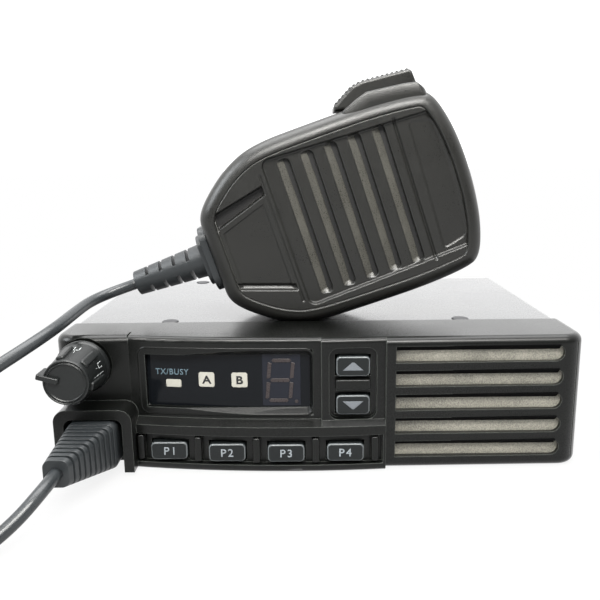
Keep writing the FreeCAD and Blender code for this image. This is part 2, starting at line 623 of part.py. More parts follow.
def grille_cuts():
    """Speaker slots: square at the left, round at the right."""
    cuts = []
    radius = d.slot_height / 2
    right = at.slot_right - radius
    for i in range(int(d.slot_count.number)):
        bottom = d.slot_bottom + d.slot_pitch * i
        top = bottom + d.slot_height
        corners = [(at.slot_left, bottom), (right, bottom, radius, -1),
                   (at.slot_right, bottom + radius, radius, -1),
                   (right, top), (at.slot_left, top)]
        cuts.append(slab(f"slot_{i}", corners, right_y + d.panel_wall + over, through, "XZ"))
    return cuts


def panel_cavities():
    """Hollow behind the three sections, open at the seam."""
    wall = d.panel_wall
    bottom = wall
    top = d.radio_height - wall
    back = seam_y + over
    left = box("cavity_left", (wall - half_width, left_y + wall, bottom), (at.section_left + over, back, top))
    middle_box = box("cavity_middle_box", (at.section_left, front_y, bottom),
                     (at.section_right - d.divider_half, back, top))
    middle = overlap("cavity_middle", middle_box, drum("cavity_drum", inner_radius, as_size(0),
                                                       d.radio_height))
    right = box("cavity_right", (at.section_right + d.divider_half, right_y + wall, bottom),
                (half_width - wall, back, top))
    passage = box("cavity_passage", (wall - half_width, at.panel_board_y - d.board_room, bottom),
                  (half_width - wall, back, top))
    return [left, middle, right, passage]


def jack_opening():
    half_w = d.jack_width / 2 + d.fit_gap
    half_h = d.jack_height / 2 + d.fit_gap
    return box("jack_hole", (at.jack_x - half_w, left_y - over, d.jack_z - half_h),
               (at.jack_x + half_w, seam_y, d.jack_z + half_h))


def front_panel():
    knob_recess = rod("knob_recess", d.knob_recess_radius, d.knob_recess_depth + over,
                      (at.knob_x, left_y - over, at.knob_z), "y")
    bush_hole = rod("bush_hole", d.bush_radius + d.seat_gap, d.panel_wall + 2 * over,
                    (at.knob_x, left_y - over, at.knob_z), "y")
    notch = box("section_notch", (at.section_left - d.notch_width, left_y - through,
                                  d.radio_height - d.notch_depth),
                (at.section_left, left_y + d.notch_run, d.radio_height + over))
    tools = [knob_recess, bush_hole, jack_opening(), notch, shroud_room(), trough_cut(), arrow_pocket()]
    tools += window_cuts() + key_cuts() + grille_cuts() + panel_cavities()
    return cut("front_panel", panel_blank(), *tools)


part("front_panel", front_panel())


# Display window, the digit and the lamps behind it

def behind_window(name, left, bottom, width, height):
    """Block from just behind the curved window back to the panel board."""
    back = d.front_radius - d.display_setback - d.window_setback - d.window_thick
    front = arc_y(back, left) + d.fit_gap
    return part(name, box(name, (left, front, bottom), (left + width, at.panel_board_y, bottom + height)))


def display_parts():
    front = d.front_radius - d.display_setback - d.window_setback
    lip = d.window_lip - d.seat_gap
    part("display_window", hollow_drum("display_window", front - d.seat_gap, front - d.window_thick,
                                       (at.window_left - lip, at.window_bottom - lip),
                                       (at.window_right + lip, at.window_top + lip)))
    behind_window("digit_display", at.digit_left, at.digit_bottom, at.digit_right - at.digit_left,
                  at.digit_top - at.digit_bottom)
    behind_window("status_lamp", at.busy_left, at.busy_bottom, d.busy_width, d.busy_height)
    behind_window("channel_lamp_a", at.lamp_a_left, at.lamp_bottom, d.lamp_width, d.lamp_height)
    behind_window("channel_lamp_b", at.lamp_b_left, at.lamp_bottom, d.lamp_width, d.lamp_height)


display_parts()


# Keys, each a bevelled cap, a flange that holds it behind the wall and a stem over its dome

def key(spot):
    name = spot.name
    cap = spot.block(f"{name}_cap", as_size(0), spot.front, spot.flange_front)
    cap = bevelled(f"{name}_bevelled", cap, d.key_bevel,
                   lambda e: e.BoundBox.Center.y < spot.flange_front.number - 0.1)
    flange = spot.block(f"{name}_flange", d.key_flange, spot.flange_front,
                        spot.flange_front + d.key_flange_thick)
    half_w, half_h = d.key_stem / 2, d.key_stem_height / 2
    stem_end = mat_y - d.dome_height - d.key_travel - d.key_rest_gap
    stem = box(f"{name}_stem", (spot.x - half_w, spot.flange_front, spot.z - half_h),
               (spot.x + half_w, stem_end, spot.z + half_h))
    return part(name, join(f"{name}_body", cap, flange, stem))


for spot in key_spots:
    key(spot)


def key_mat():
    """Rubber sheet on the board with a dome under each key."""
    right = at.section_right - d.divider_half - d.mat_edge
    row = box("mat_row", (at.section_left + d.mat_edge, mat_y, d.panel_board_bottom),
              (right, at.panel_board_y, d.row_z + d.mat_reach))
    column = box("mat_column", (at.section_split + d.mat_edge, mat_y, d.panel_board_bottom),
                 (right, at.panel_board_y, at.arrow_up_z + d.mat_reach))
    wide_half = d.dome_half
    slim_half = d.dome_half - d.dome_taper
    domes = [frustum(f"{s.name}_dome", (s.x - slim_half, s.z - slim_half), (s.x + slim_half, s.z + slim_half),
                     mat_y - d.dome_height, mat_y, (s.x - wide_half, s.z - wide_half),
                     (s.x + wide_half, s.z + wide_half)) for s in key_spots]
    return join("key_mat_body", row, column, *domes)


part("key_mat", key_mat())


# Circuit board behind the panel, cleared for the jack

def panel_board():
    plate = box("panel_board_plate", (d.panel_board_edge - half_width, at.panel_board_y,
                                      d.panel_board_bottom),
                (at.section_right - d.panel_board_step, board_back_y, at.panel_board_top))
    half = d.jack_width / 2 + d.jack_room
    notch = box("jack_notch", (at.jack_x - half, at.panel_board_y - over, 0),
                (at.jack_x + half, board_back_y + over, d.jack_z + d.jack_height / 2 + d.jack_room))
    return cut("panel_board_body", plate, notch)


part("panel_board", panel_board())


# Speaker behind the grille

def speaker():
    mesh_y = right_y + d.panel_wall
    edge = d.panel_wall + d.mesh_gap
    part("speaker_mesh", box("speaker_mesh_plate",
                             (at.section_right + d.divider_half + d.mesh_gap, mesh_y, edge),
                             (half_width - edge, mesh_y + d.mesh_thick, d.radio_height - edge)))
    x, z = at.speaker_x, at.speaker_z
    ring_y = mesh_y + d.mesh_thick
    ring = rod("speaker_ring", d.speaker_radius, d.speaker_ring, (x, ring_y, z), "y")
    outside = d.speaker_radius - d.basket_step
    basket = cone("speaker_basket", outside, d.magnet_radius, d.speaker_depth - d.speaker_ring,
                  (x, ring_y + d.speaker_ring, z), "y")
    room = cone("speaker_room", outside - d.basket_skin / 2, d.magnet_radius - d.basket_skin,
                d.speaker_depth - d.basket_skin, (x, ring_y - 0.1, z), "y")
    part("speaker_frame", cut("speaker_frame_body", join("speaker_shell", ring, basket), room))
    cone_y = ring_y + d.cone_gap
    wide_end = d.speaker_radius - d.cone_step
    skin = cone("cone_outside", wide_end, d.cone_neck, d.cone_depth, (x, cone_y, z), "y")
    hollow = cone("cone_inside", wide_end - d.speaker_skin, d.cone_neck - d.speaker_skin,
                  d.cone_depth - d.speaker_skin, (x, cone_y - 0.01, z), "y")
    cap = rod("cone_cap", d.cone_cap_radius, d.speaker_skin, (x, cone_y + d.cone_cap_depth, z), "y")
    part("speaker_cone", join("speaker_cone_body", cut("cone_skin", skin, hollow), cap))
    part("speaker_magnet", rod("speaker_magnet_body", d.magnet_radius, d.magnet_depth,
                               (x, ring_y + d.speaker_depth + d.seat_gap, z), "y"))


speaker()


# Volume control: pot with its bush through the panel, shaft and knob

knob_back = left_y + d.knob_recess_depth - d.turn_gap - d.skirt_length
knob_front = left_y + d.knob_recess_depth - d.turn_gap - d.knob_length
shaft_front = knob_front + d.shaft_short


def knob_grip(index):
    """One of the bars along the knob's collar, spaced from the pointer round."""
    turn = math.tau * index / d.knob_grips.number - math.pi / 2
    reach = d.knob_base_radius + d.grip_rise
    across, out = d.grip_width / 2, d.knob_radius / 2
    grip = doc.addObject("Part::Box", f"knob_grip_{index}")
    grip.Placement.Rotation = FreeCAD.Rotation(Vector(0, 1, 0), math.degrees(turn))
    bind(grip, Length=d.grip_width, Height=reach - out, Width=d.grip_length)
    return bind(grip, x=at.knob_x - across * math.cos(turn) + out * math.sin(turn),
                y=knob_front + d.grip_start,
                z=at.knob_z + across * math.sin(turn) + out * math.cos(turn))


def volume_knob():
    x, z = at.knob_x, at.knob_z
    bore = d.shaft_radius + d.seat_gap / 2
    collar = cone("knob_cone", d.knob_radius, d.knob_base_radius, knob_back - knob_front,
                  (x, knob_front, z), "y")
    dish = rod("knob_dish", d.knob_radius - d.knob_rim, d.knob_dish, (x, knob_front - 0.01, z), "y")
    socket = rod("knob_socket", bore, knob_back - shaft_front + d.seat_gap * 2,
                 (x, shaft_front - d.seat_gap * 2, z), "y")
    room_y = knob_back - d.knob_room_depth
    room = cut("knob_room", rod("knob_room_outer", d.knob_base_radius - d.knob_wall, d.knob_room_depth,
                                (x, room_y, z), "y"),
               rod("knob_room_boss", d.shaft_radius + d.knob_boss_wall, d.knob_room_depth, (x, room_y, z),
                   "y"))
    skirt = cone("knob_skirt", d.knob_base_radius, d.knob_recess_radius - d.skirt_gap, d.skirt_length,
                 (x, knob_back, z), "y")
    skirt_hole = rod("knob_skirt_hole", d.bush_radius + d.bush_room, d.skirt_length + over,
                     (x, knob_back, z), "y")
    half = d.pointer_width / 2
    pointer = box("knob_pointer", (x - d.pointer_reach, knob_front - d.pointer_rise, z - half),
                  (x - d.pointer_root, knob_front + d.pointer_length, z + half))
    grips = [knob_grip(i) for i in range(1, int(d.knob_grips.number))]
    body = join("knob_solid", cut("knob_face", collar, dish), pointer, skirt, *grips)
    return cut("volume_knob_body", body, socket, room, skirt_hole)


def volume_control():
    x, z = at.knob_x, at.knob_z
    half = d.control_width / 2
    body_y = left_y + d.panel_wall + d.seat_gap
    body = box("control_box", (x - half, body_y, z - half), (x + half, at.panel_board_y, z + half))
    bush = rod("control_bush", d.bush_radius, body_y + over - left_y + d.bush_reach,
               (x, left_y - d.bush_reach, z), "y")
    bore = rod("control_bore", d.shaft_radius + d.shaft_fit,
               body_y + d.shaft_tail + d.seat_gap - left_y + d.bush_reach,
               (x, left_y - d.bush_reach, z), "y")
    part("volume_control", cut("volume_control_body", join("control_solid", body, bush), bore))
    part("volume_shaft", rod("volume_shaft_body", d.shaft_radius, body_y + d.shaft_tail - shaft_front,
                             (x, shaft_front, z), "y"))


volume_control()
knob = part("volume_knob", volume_knob())
knob_turned = FreeCAD.Rotation(Vector(0, 1, 0), d.knob_turn.number)
knob.Placement = FreeCAD.Placement(Vector(), knob_turned, Vector(at.knob_x.number, 0, at.knob_z.number))


# Microphone jack in the panel, its contacts, and the plug with its boot

def jack_and_plug():
    x, z = at.jack_x, d.jack_z
    back = left_y + d.jack_depth
    room_back = back - d.jack_back
    plug_back = room_back - d.plug_end_gap
    half_w, half_h = d.jack_width / 2, d.jack_height / 2
    room_w, room_h = d.plug_width / 2 + d.fit_gap, d.plug_height / 2 + d.fit_gap
    front = left_y - over
    latch_half = d.latch_width / 2
    row_half = d.contact_pitch * d.contact_count / 2 + d.fit_gap
    wires_top = z + room_h + d.seat_gap + d.wire_thick
    body = box("jack_body", (x - half_w, left_y, z - half_h), (x + half_w, back, z + half_h))
    room = box("jack_room", (x - room_w, front, z - room_h), (x + room_w, room_back, z + room_h))
    latch = box("jack_latch_room", (x - latch_half - d.fit_gap, front, z - room_h - d.latch_drop - d.fit_gap),
                (x + latch_half + d.fit_gap, room_back - d.latch_root + d.fit_gap, z))
    wire_room = box("jack_wire_room", (x - row_half, room_back - d.wire_length - over, z),
                    (x + row_half, room_back, wires_top + d.seat_gap))
    part("mic_jack", cut("mic_jack_body", body, room, latch, wire_room))
    plug_top, plug_bottom = z + d.plug_height / 2, z - d.plug_height / 2
    wires = []
    blades = []
    for i in range(int(d.contact_count.number)):
        left = x + d.contact_pitch * (i - (d.contact_count - 1) / 2) - d.contact_width / 2
        right = left + d.contact_width
        wires.append(box(f"jack_wire_{i}", (left, room_back - d.wire_length, wires_top - d.wire_thick),
                         (right, room_back, wires_top)))
        blades.append(box(f"plug_blade_{i}", (left, plug_back - d.blade_length - d.plug_end_gap,
                                              plug_top - d.blade_height),
                          (right, plug_back - d.plug_end_gap, plug_top)))
    part("jack_contacts", bunch("jack_contact_set", *wires))
    half = d.plug_width / 2
    plug = box("plug_block", (x - half, at.boot_back_y, plug_bottom), (x + half, plug_back, plug_top))
    blade_room = box("plug_blade_room", (x - row_half, plug_back - d.blade_length - 2 * d.plug_end_gap,
                                         plug_top - d.blade_height),
                     (x + row_half, plug_back - d.plug_end_gap / 2, plug_top + over))
    arm_back = plug_back - d.latch_root
    arm_bottom = plug_bottom - d.latch_drop
    arm = box("plug_latch", (x - latch_half, at.boot_back_y, arm_bottom),
              (x + latch_half, arm_back, arm_bottom + d.latch_thick))
    arm_root = box("plug_latch_root", (x - latch_half, arm_back - d.latch_root, arm_bottom),
                   (x + latch_half, arm_back, z))
    part("mic_plug", join("mic_plug_body", cut("plug_solid", plug, blade_room), arm, arm_root))
    part("plug_contacts", bunch("plug_contact_set", *blades))


jack_and_plug()


def tapered_boot(name, inset, corners):
    """Tapering boot through four sections, drawn in by inset, from the plug to the cord."""
    sections = []
    straight_y = at.boot_back_y - d.boot_straight
    middle_y = (straight_y + at.boot_front_y) / 2
    stations = [
        (at.boot_back_y, at.jack_x, d.jack_z, d.boot_width, d.boot_height),
        (straight_y, at.jack_x, d.jack_z, d.boot_width, d.boot_height),
        (middle_y, (at.jack_x + at.boot_end_x) / 2, (d.jack_z + d.boot_end_z) / 2,
         (d.boot_width + d.boot_end_width) / 2, (d.boot_height + d.boot_end_height) / 2),
        (at.boot_front_y, at.boot_end_x, d.boot_end_z, d.boot_end_width, d.boot_end_height),
    ]
    for i, (y, x, z, width, height) in enumerate(stations):
        half_w, half_h = width / 2 - inset, height / 2 - inset
        sketch = doc.addObject("Sketcher::SketchObject", f"{name}_section_{i}")
        sketch.Placement = FreeCAD.Placement(Vector(), FreeCAD.Rotation(Vector(1, 0, 0), 90))
        bind(sketch, y=y)
        outline(sketch, corners(x - half_w, z - half_h, x + half_w, z + half_h, d.boot_corner))
        sections.append(sketch)
    made = doc.addObject("Part::Loft", name)
    made.Sections = sections
    made.Solid = True
    made.Ruled = True
    return made


def boot_slice(name, y_front, y_back):
    """Block as wide and high as the whole boot and more, between two y."""
    wide_reach = d.boot_width * 2
    return box(name, (at.jack_x - wide_reach, y_front, d.jack_z - d.boot_height),
               (at.jack_x + wide_reach, y_back, d.jack_z + d.boot_height))


def plug_boot():
    skin = tapered_boot("boot_skin", as_size(0), rounded_rectangle)
    core = tapered_boot("boot_core", d.boot_rib_depth, cut_rectangle)
    start = at.boot_back_y - d.boot_straight
    count = int(d.boot_ribs.number)
    pitch = (start - at.boot_front_y) / (d.boot_ribs + 0.5)
    rings = [boot_slice("boot_collar", start - pitch * 0.5, at.boot_back_y + over)]
    for i in range(count - 1):
        y = start - pitch * (i + 1)
        reach = pitch * d.boot_rib_share / 2
        rings.append(boot_slice(f"boot_ring_{i}", y - reach, y + reach))
    end_length = pitch * (d.boot_rib_share + 1) / 2
    rings.append(boot_slice("boot_end", at.boot_front_y - over, at.boot_front_y + end_length))
    ribs = overlap("boot_ribs", skin, join("boot_rings", *rings))
    half = d.plug_width / 2 + d.seat_gap
    socket = box("boot_socket", (at.jack_x - half, at.boot_back_y - d.seat_gap, 0),
                 (at.jack_x + half, at.boot_back_y + over, d.radio_height))
    return cut("plug_boot_body", join("boot_solid", core, ribs), socket)


part("plug_boot", plug_boot())


# Gasket between panel and chassis

def panel_gasket():
    rim = d.panel_wall + d.seat_gap
    inside = rim + d.gasket_width
    outer = box("gasket_outer", (rim - half_width, seam_y - d.gasket_thick, rim),
                (half_width - rim, seam_y, d.radio_height - rim))
    inner = box("gasket_inner", (inside - half_width, seam_y - d.gasket_thick - over, inside),
                (half_width - inside, seam_y + over, d.radio_height - inside))
    return cut("panel_gasket_body", outer, inner)


part("panel_gasket", panel_gasket())


# Die-cast chassis: tray with a rear heat sink, screw posts and bracket holes

cover_under = at.cover_top_z - d.cover_thick
skirt_z = at.cover_top_z - d.cover_skirt
half_board = half_chassis - d.chassis_wall - d.board_side_gap


def origin_plane(body, role):
    return next(f for f in body.Origin.OriginFeatures if f.Role == role)


def body_sketch(body, name, corners, role="XY_Plane", offset=0):
    sketch = body.newObject("Sketcher::SketchObject", name)
    sketch.AttachmentSupport = [(origin_plane(body, role), "")]
    sketch.MapMode = "FlatFace"
    sketch.setExpression("AttachmentOffset.Base.z", as_size(offset).text)
    outline(sketch, corners)
    return sketch


def pad(body, name, sketch, length):
    made = body.newObject("PartDesign::Pad", name)
    made.Profile = sketch
    bind(made, Length=length)
    return made


def pocket(body, name, sketch, length, reverse=False):
    made = body.newObject("PartDesign::Pocket", name)
    made.Profile = sketch
    made.Reversed = reverse
    bind(made, Length=length)
    return made


def signed(sign, size):
    return size if sign > 0 else -size


def cover_screw_places():
    front = seam_y + d.cover_screw_inset
    back = wall_back_y - d.cover_screw_inset
    return [(signed(side, at.cover_screw_x), y) for y in (front, back) for side in (-1, 1)]


def board_post_places():
    x = half_board - d.board_post_inset
    front = at.main_board_front + d.board_post_inset
    back = at.main_board_back - d.board_post_inset
    return [(signed(side, x), y) for y in (front, back) for side in (-1, 1)]


def chassis_tray():
    """Tray with a thinner rim under the cover, and a pattern of cooling fins behind it."""
    body = doc.addObject("PartDesign::Body", "chassis_body")
    step = d.cover_thick + d.seat_gap
    plan = rectangle(-half_chassis, seam_y, half_chassis, wall_back_y)
    pad(body, "tray_block", body_sketch(body, "tray_plan", plan), skirt_z)
    plan = rectangle(step - half_chassis, seam_y, half_chassis - step, wall_back_y)
    pad(body, "tray_rim", body_sketch(body, "rim_plan", plan), cover_under)
    fin_left = half_chassis - d.fin_edge
    plan = rectangle(-fin_left, wall_back_y - over, d.fin_thick - fin_left, rear_y)
    fin = pad(body, "fin", body_sketch(body, "fin_plan", plan, offset=d.fin_bottom),
              cover_under - d.fin_top_gap - d.fin_bottom)
    doc.recompute()
    fins = body.newObject("PartDesign::LinearPattern", "fins")
    fins.Originals = [fin]
    fins.Direction = (origin_plane(body, "X_Axis"), [""])
    bind(fins, Occurrences=d.fin_count, Length=fin_left * 2 - d.fin_thick)
    body.Tip = fins
    doc.recompute()
    inner = half_chassis - d.chassis_wall
    plan = rectangle(-inner, seam_y + d.chassis_wall, inner, wall_back_y - d.chassis_wall)
    pocket(body, "room", body_sketch(body, "room_plan", plan, offset=d.chassis_floor), d.radio_height, True)
    doc.recompute()
    return body


def chassis_posts():
    """Posts under the cover and the board, each with its screw hole."""
    posts = []
    holes = []
    hole_radius = d.screw_radius + d.screw_fit
    for i, (x, y) in enumerate(cover_screw_places()):
        posts.append(rod(f"cover_post_{i}", d.cover_screw_inset, cover_under - over, (x, y, over)))
        depth = d.screw_length + d.screw_tip_room
        holes.append(rod(f"cover_post_hole_{i}", hole_radius, depth + over, (x, y, cover_under - depth)))
    for i, (x, y) in enumerate(board_post_places()):
        posts.append(rod(f"board_post_{i}", d.board_post_radius, d.main_board_z - over, (x, y, over)))
        holes.append(rod(f"board_post_hole_{i}", hole_radius, d.board_hole_depth + over,
                         (x, y, d.main_board_z - d.board_hole_depth)))
    return posts, holes


def bracket_bosses():
    """Two bosses inside each side wall, with the holes that take the bracket's bolts."""
    posts = []
    holes = []
    for side in (-1, 1):
        for end in (-1, 1):
            y = d.bracket_y + d.bracket_spacing / 2 * end
            name = f"bracket_{'left' if side < 0 else 'right'}_{'front' if end < 0 else 'rear'}"
            boss_length = d.bracket_hole_depth + d.bracket_boss_wall - over
            boss_x = over - half_chassis if side < 0 else half_chassis - over - boss_length
            hole_x = -half_chassis if side < 0 else half_chassis - d.bracket_hole_depth
            posts.append(rod(f"{name}_boss", d.bracket_boss_radius, boss_length, (boss_x, y, d.bracket_z),
                             "x"))
            holes.append(rod(f"{name}_hole", d.bracket_hole_radius, d.bracket_hole_depth,
                             (hole_x, y, d.bracket_z), "x"))
    return posts, holes


def rear_openings():
    """Holes for the rear connectors, with the fins cleared round them, and the passage to the panel."""
    gap = d.seat_gap
    front = wall_back_y - d.chassis_wall - over
    back = wall_back_y + over
    holes = [box("flex_passage", (-d.passage_half, seam_y - over, d.passage_bottom),
                 (d.passage_half, seam_y + d.chassis_wall + over, d.passage_top))]
    for name, x, width in (("power", at.power_x, d.power_width),
                           ("accessory", d.accessory_x, d.accessory_width),
                           ("antenna", at.antenna_x, d.antenna_flange)):
        half = width / 2 + d.bay_margin
        holes.append(box(f"{name}_bay", (x - half, wall_back_y, d.rear_z - d.bay_half),
                         (x + half, rear_y + over, d.rear_z + d.bay_half)))
    for name, x, width, height in (("power", at.power_x, d.power_width, d.power_height),
                                   ("accessory", d.accessory_x, d.accessory_width, d.accessory_height)):
        half_w, half_h = width / 2 + gap, height / 2 + gap
        holes.append(box(f"{name}_hole", (x - half_w, front, d.rear_z - half_h),
                         (x + half_w, back, d.rear_z + half_h)))
    holes.append(rod("antenna_hole", d.antenna_radius + gap, back - front, (at.antenna_x, front, d.rear_z),
                     "y"))
    return holes


def chassis():
    posts, holes = chassis_posts()
    bosses, bolt_holes = bracket_bosses()
    joined = join("chassis_cast", chassis_tray(), *posts, *bosses)
    return cut("chassis_cut", joined, *holes, *bolt_holes, *rear_openings())


part("chassis", chassis())


# Top cover: a pressed plate with two side skirts, held by four screws

def top_cover():
    body = doc.addObject("PartDesign::Body", "cover_body")
    plan = rectangle(-half_chassis, seam_y + d.cover_gap, half_chassis, wall_back_y)
    pad(body, "cover_block", body_sketch(body, "cover_plan", plan, offset=skirt_z + d.cover_gap),
        d.cover_skirt - d.cover_gap)
    doc.recompute()
    block = body.Tip
    edge = body.newObject("PartDesign::Fillet", "cover_edge")
    names = [f"Edge{i}" for i, e in enumerate(block.Shape.Edges, start=1)
             if e.BoundBox.Center.z > at.cover_top_z.number - 0.1 and e.BoundBox.XLength < 0.1]
    edge.Base = (block, names)
    bind(edge, Radius=d.cover_thick)
    doc.recompute()
    inner = half_chassis - d.cover_thick
    plan = rectangle(-inner, seam_y, inner, wall_back_y + over)
    pocket(body, "cover_room", body_sketch(body, "cover_room_plan", plan, offset=cover_under), d.cover_skirt)
    doc.recompute()
    holes = []
    for i, (x, y) in enumerate(cover_screw_places()):
        holes.append(rod(f"cover_hole_{i}", d.screw_radius + d.screw_play, d.cover_thick + 2 * over,
                         (x, y, cover_under - over)))
        holes.append(rod(f"cover_dimple_{i}", d.screw_head_radius + d.dimple_gap, d.dimple_depth + over,
                         (x, y, at.cover_top_z - d.dimple_depth)))
    return cut("cover_cut", body, *holes)


part("top_cover", top_cover())


def screw(name, x, y, under_head, head_height, length):
    head = rod(f"{name}_head", d.screw_head_radius, head_height, (x, y, under_head))
    shank = many_sided(f"{name}_shank", d.screw_radius, length + head_height / 2, (x, y, under_head - length))
    return join(name, head, shank)


part("cover_screws", bunch("cover_screw_set", *[
    screw(f"cover_screw_{i}", x, y, at.cover_top_z - d.dimple_depth, d.cover_head_height, d.screw_length)
    for i, (x, y) in enumerate(cover_screw_places())
]))


# Main board and what stands on it

board_top = d.main_board_z + d.board_thick


def main_board():
    plate = box("main_board_plate", (-half_board, at.main_board_front, d.main_board_z),
                (half_board, at.main_board_back, board_top))
    holes = [rod(f"main_board_hole_{i}", d.screw_radius + d.screw_play, d.board_thick + 2 * over,
                 (x, y, d.main_board_z - over)) for i, (x, y) in enumerate(board_post_places())]
    part("main_board", cut("main_board_body", plate, *holes))
    part("board_screws", bunch("board_screw_set", *[
        screw(f"board_screw_{i}", x, y, board_top, d.board_head_height, d.board_screw_length)
        for i, (x, y) in enumerate(board_post_places())
    ]))


def board_parts():
    """Shielding can, heat-producing power module and the two filter capacitors."""
    skin = d.shield_skin
    left = d.shield_left - half_board
    front = at.main_board_front + d.shield_front
    right, back = left + d.shield_width, front + d.shield_depth
    can = box("shield_can", (left, front, board_top), (right, back, board_top + d.shield_height))
    room = box("shield_room", (left + skin, front + skin, board_top - over),
               (right - skin, back - skin, board_top + d.shield_height - skin))
    part("rf_shield", cut("rf_shield_body", can, room))
    right = half_board - d.module_right
    back = at.main_board_back - d.module_back
    part("power_module", box("power_module_block", (right - d.module_width, back - d.module_depth, board_top),
                             (right, back, board_top + d.module_height)))
    x = d.capacitor_left - half_board
    part("filter_capacitors", bunch("capacitor_pair", *[
        rod(f"capacitor_{i}", d.capacitor_radius, d.capacitor_height,
            (x, at.main_board_front + d.capacitor_y + d.capacitor_pitch * i, board_top)) for i in range(2)
    ]))


main_board()
board_parts()


# Rear connectors, each through the chassis wall

connector_inner_y = wall_back_y - d.chassis_wall - d.connector_tail
connector_outer_y = wall_back_y + d.connector_reach
pin_front_y = wall_back_y - d.connector_floor
pin_end_y = connector_outer_y - d.pin_drop


def open_shell(name, x, width, height):
    """Connector shell, open at the rear down to its floor."""
    half_w, half_h = width / 2, height / 2
    wall = d.connector_wall
    shell = box(f"{name}_shell", (x - half_w, connector_inner_y, d.rear_z - half_h),
                (x + half_w, connector_outer_y, d.rear_z + half_h))
    room = box(f"{name}_room", (x - half_w + wall, pin_front_y, d.rear_z - half_h + wall),
               (x + half_w - wall, connector_outer_y + over, d.rear_z + half_h - wall))
    return part(name, cut(f"{name}_body", shell, room))


def pin(name, x, z, width, height):
    return box(name, (x - width / 2, pin_front_y, z - height / 2), (x + width / 2, pin_end_y, z + height / 2))


def rear_connectors():
    open_shell("power_inlet", at.power_x, d.power_width, d.power_height)
    open_shell("accessory_connector", d.accessory_x, d.accessory_width, d.accessory_height)
    part("power_blades", bunch("power_blade_set", *[
        pin(f"power_blade_{i}", at.power_x + d.blade_pitch * (i - 0.5), d.rear_z, d.blade_width, d.blade_thick)
        for i in range(2)
    ]))
    rows, columns = int(d.pin_rows.number), int(d.pin_columns.number)
    pins = []
    for row in range(rows):
        for column in range(columns):
            x = d.accessory_x + d.pin_pitch * (column - (d.pin_columns - 1) / 2)
            z = d.rear_z + d.pin_pitch * (row - (d.pin_rows - 1) / 2)
            pins.append(pin(f"accessory_pin_{row}_{column}", x, z, d.pin_size, d.pin_size))
    part("accessory_pins", bunch("accessory_pin_set", *pins))


def antenna_socket():
    x, z = at.antenna_x, d.rear_z
    half = d.antenna_flange / 2
    barrel = rod("antenna_barrel", d.antenna_radius, d.antenna_length + d.connector_tail,
                 (x, wall_back_y - d.connector_tail, z), "y")
    flange = box("antenna_flange", (x - half, wall_back_y, z - half),
                 (x + half, wall_back_y + d.flange_thick, z + half))
    bore = rod("antenna_bore", d.antenna_bore, d.antenna_length + over, (x, wall_back_y, z), "y")
    part("antenna_connector", cut("antenna_body", join("antenna_solid", barrel, flange), bore))
    insulator = rod("antenna_insulator_solid", d.antenna_bore, d.insulator_length, (x, wall_back_y, z), "y")
    hole = rod("antenna_contact_hole", d.contact_radius + d.shaft_fit, d.insulator_length + 2 * over,
               (x, wall_back_y - over, z), "y")
    part("antenna_insulator", cut("antenna_insulator_body", insulator, hole))
    contact = rod("antenna_contact_outer", d.contact_radius, d.contact_length, (x, wall_back_y, z), "y")
    inside = rod("antenna_contact_bore", d.contact_bore, d.contact_bore_depth + over,
                 (x, wall_back_y + d.contact_length - d.contact_bore_depth, z), "y")
    part("antenna_contact", cut("antenna_contact_body", contact, inside))


rear_connectors()
antenna_socket()


# Fist microphone: each piece is drawn in the handset's own frame, then placed

mic_place = FreeCAD.Placement(Vector(d.mic_x.number, d.mic_y.number, at.mic_z.number),
                              FreeCAD.Rotation(Vector(0, 1, 0), -d.mic_tilt.number))
mic_front = -d.mic_front_depth
mic_inner_front = mic_front + d.mic_wall
mic_inner_back = d.mic_back_depth - d.mic_wall
mic_mesh_front = mic_inner_front + d.seat_gap
mic_screw_places = [(d.mic_screw_s, -d.mic_screw_t), (d.mic_screw_s, d.mic_screw_t),
                    (d.mic_neck_screw_s, as_size(0))]
mic_reach = d.mic_right * 2


def mic_part(name, thing):
    thing.Placement = mic_place
    bind(thing, x=d.mic_x, y=d.mic_y, z=at.mic_z)
    return part(name, thing)


def mic_outline(inset):
    """Handset seen from its face: narrow at the cord's end, full at the shoulder, blunt at the other end.

    The shares of the inset keep the drawn-in outline at an even distance inside the sloping sides.
    """
    neck_share, shoulder_share, corner_share, corner_half_share = 0.43, 0.4, 0.95, 0.88
    upper = [
        (inset - d.mic_left, d.mic_neck_half - inset * neck_share, d.mic_neck_radius - inset),
        (d.mic_shoulder + inset * shoulder_share, d.mic_shoulder_half - inset, d.mic_shoulder_radius - inset),
        (d.mic_side, d.mic_side_half - inset, d.mic_side_radius),
        (d.mic_corner - inset * corner_share, d.mic_corner_half - inset * corner_half_share,
         d.mic_corner_radius - inset),
    ]
    end = (d.mic_right - inset, as_size(0), d.mic_end_radius)
    return [(x, -y, radius) for x, y, radius in upper] + [end] + upper[::-1]


def mic_block(name, soften, inset, start, length, edge, way):
    """Slab of the handset's outline with its outer edge softened, by rounding or by bevelling."""
    block = slab(f"{name}_slab", mic_outline(inset), start, length, "XZ", way, smooth_outline)
    level = as_size(start).number + way * as_size(length).number
    return soften(name, block, edge,
                  lambda e: e.BoundBox.YLength < 0.01 and abs(e.BoundBox.YMin - level) < 0.01)


def ptt_outline(grow, end_gap):
    """Lever seen from the face: sloping nose over the pivot, flat top and upright end."""
    left, right, top = d.ptt_left - grow, d.ptt_right + end_gap, d.ptt_top + grow
    root_t = d.ptt_root - grow * 4
    return [
        (left, root_t), (right, root_t), (right, d.ptt_top - d.ptt_end_height),
        (right - d.ptt_end_lean, top - d.ptt_slope), (d.ptt_ramp, top), (left, top - d.ptt_nose),
    ]


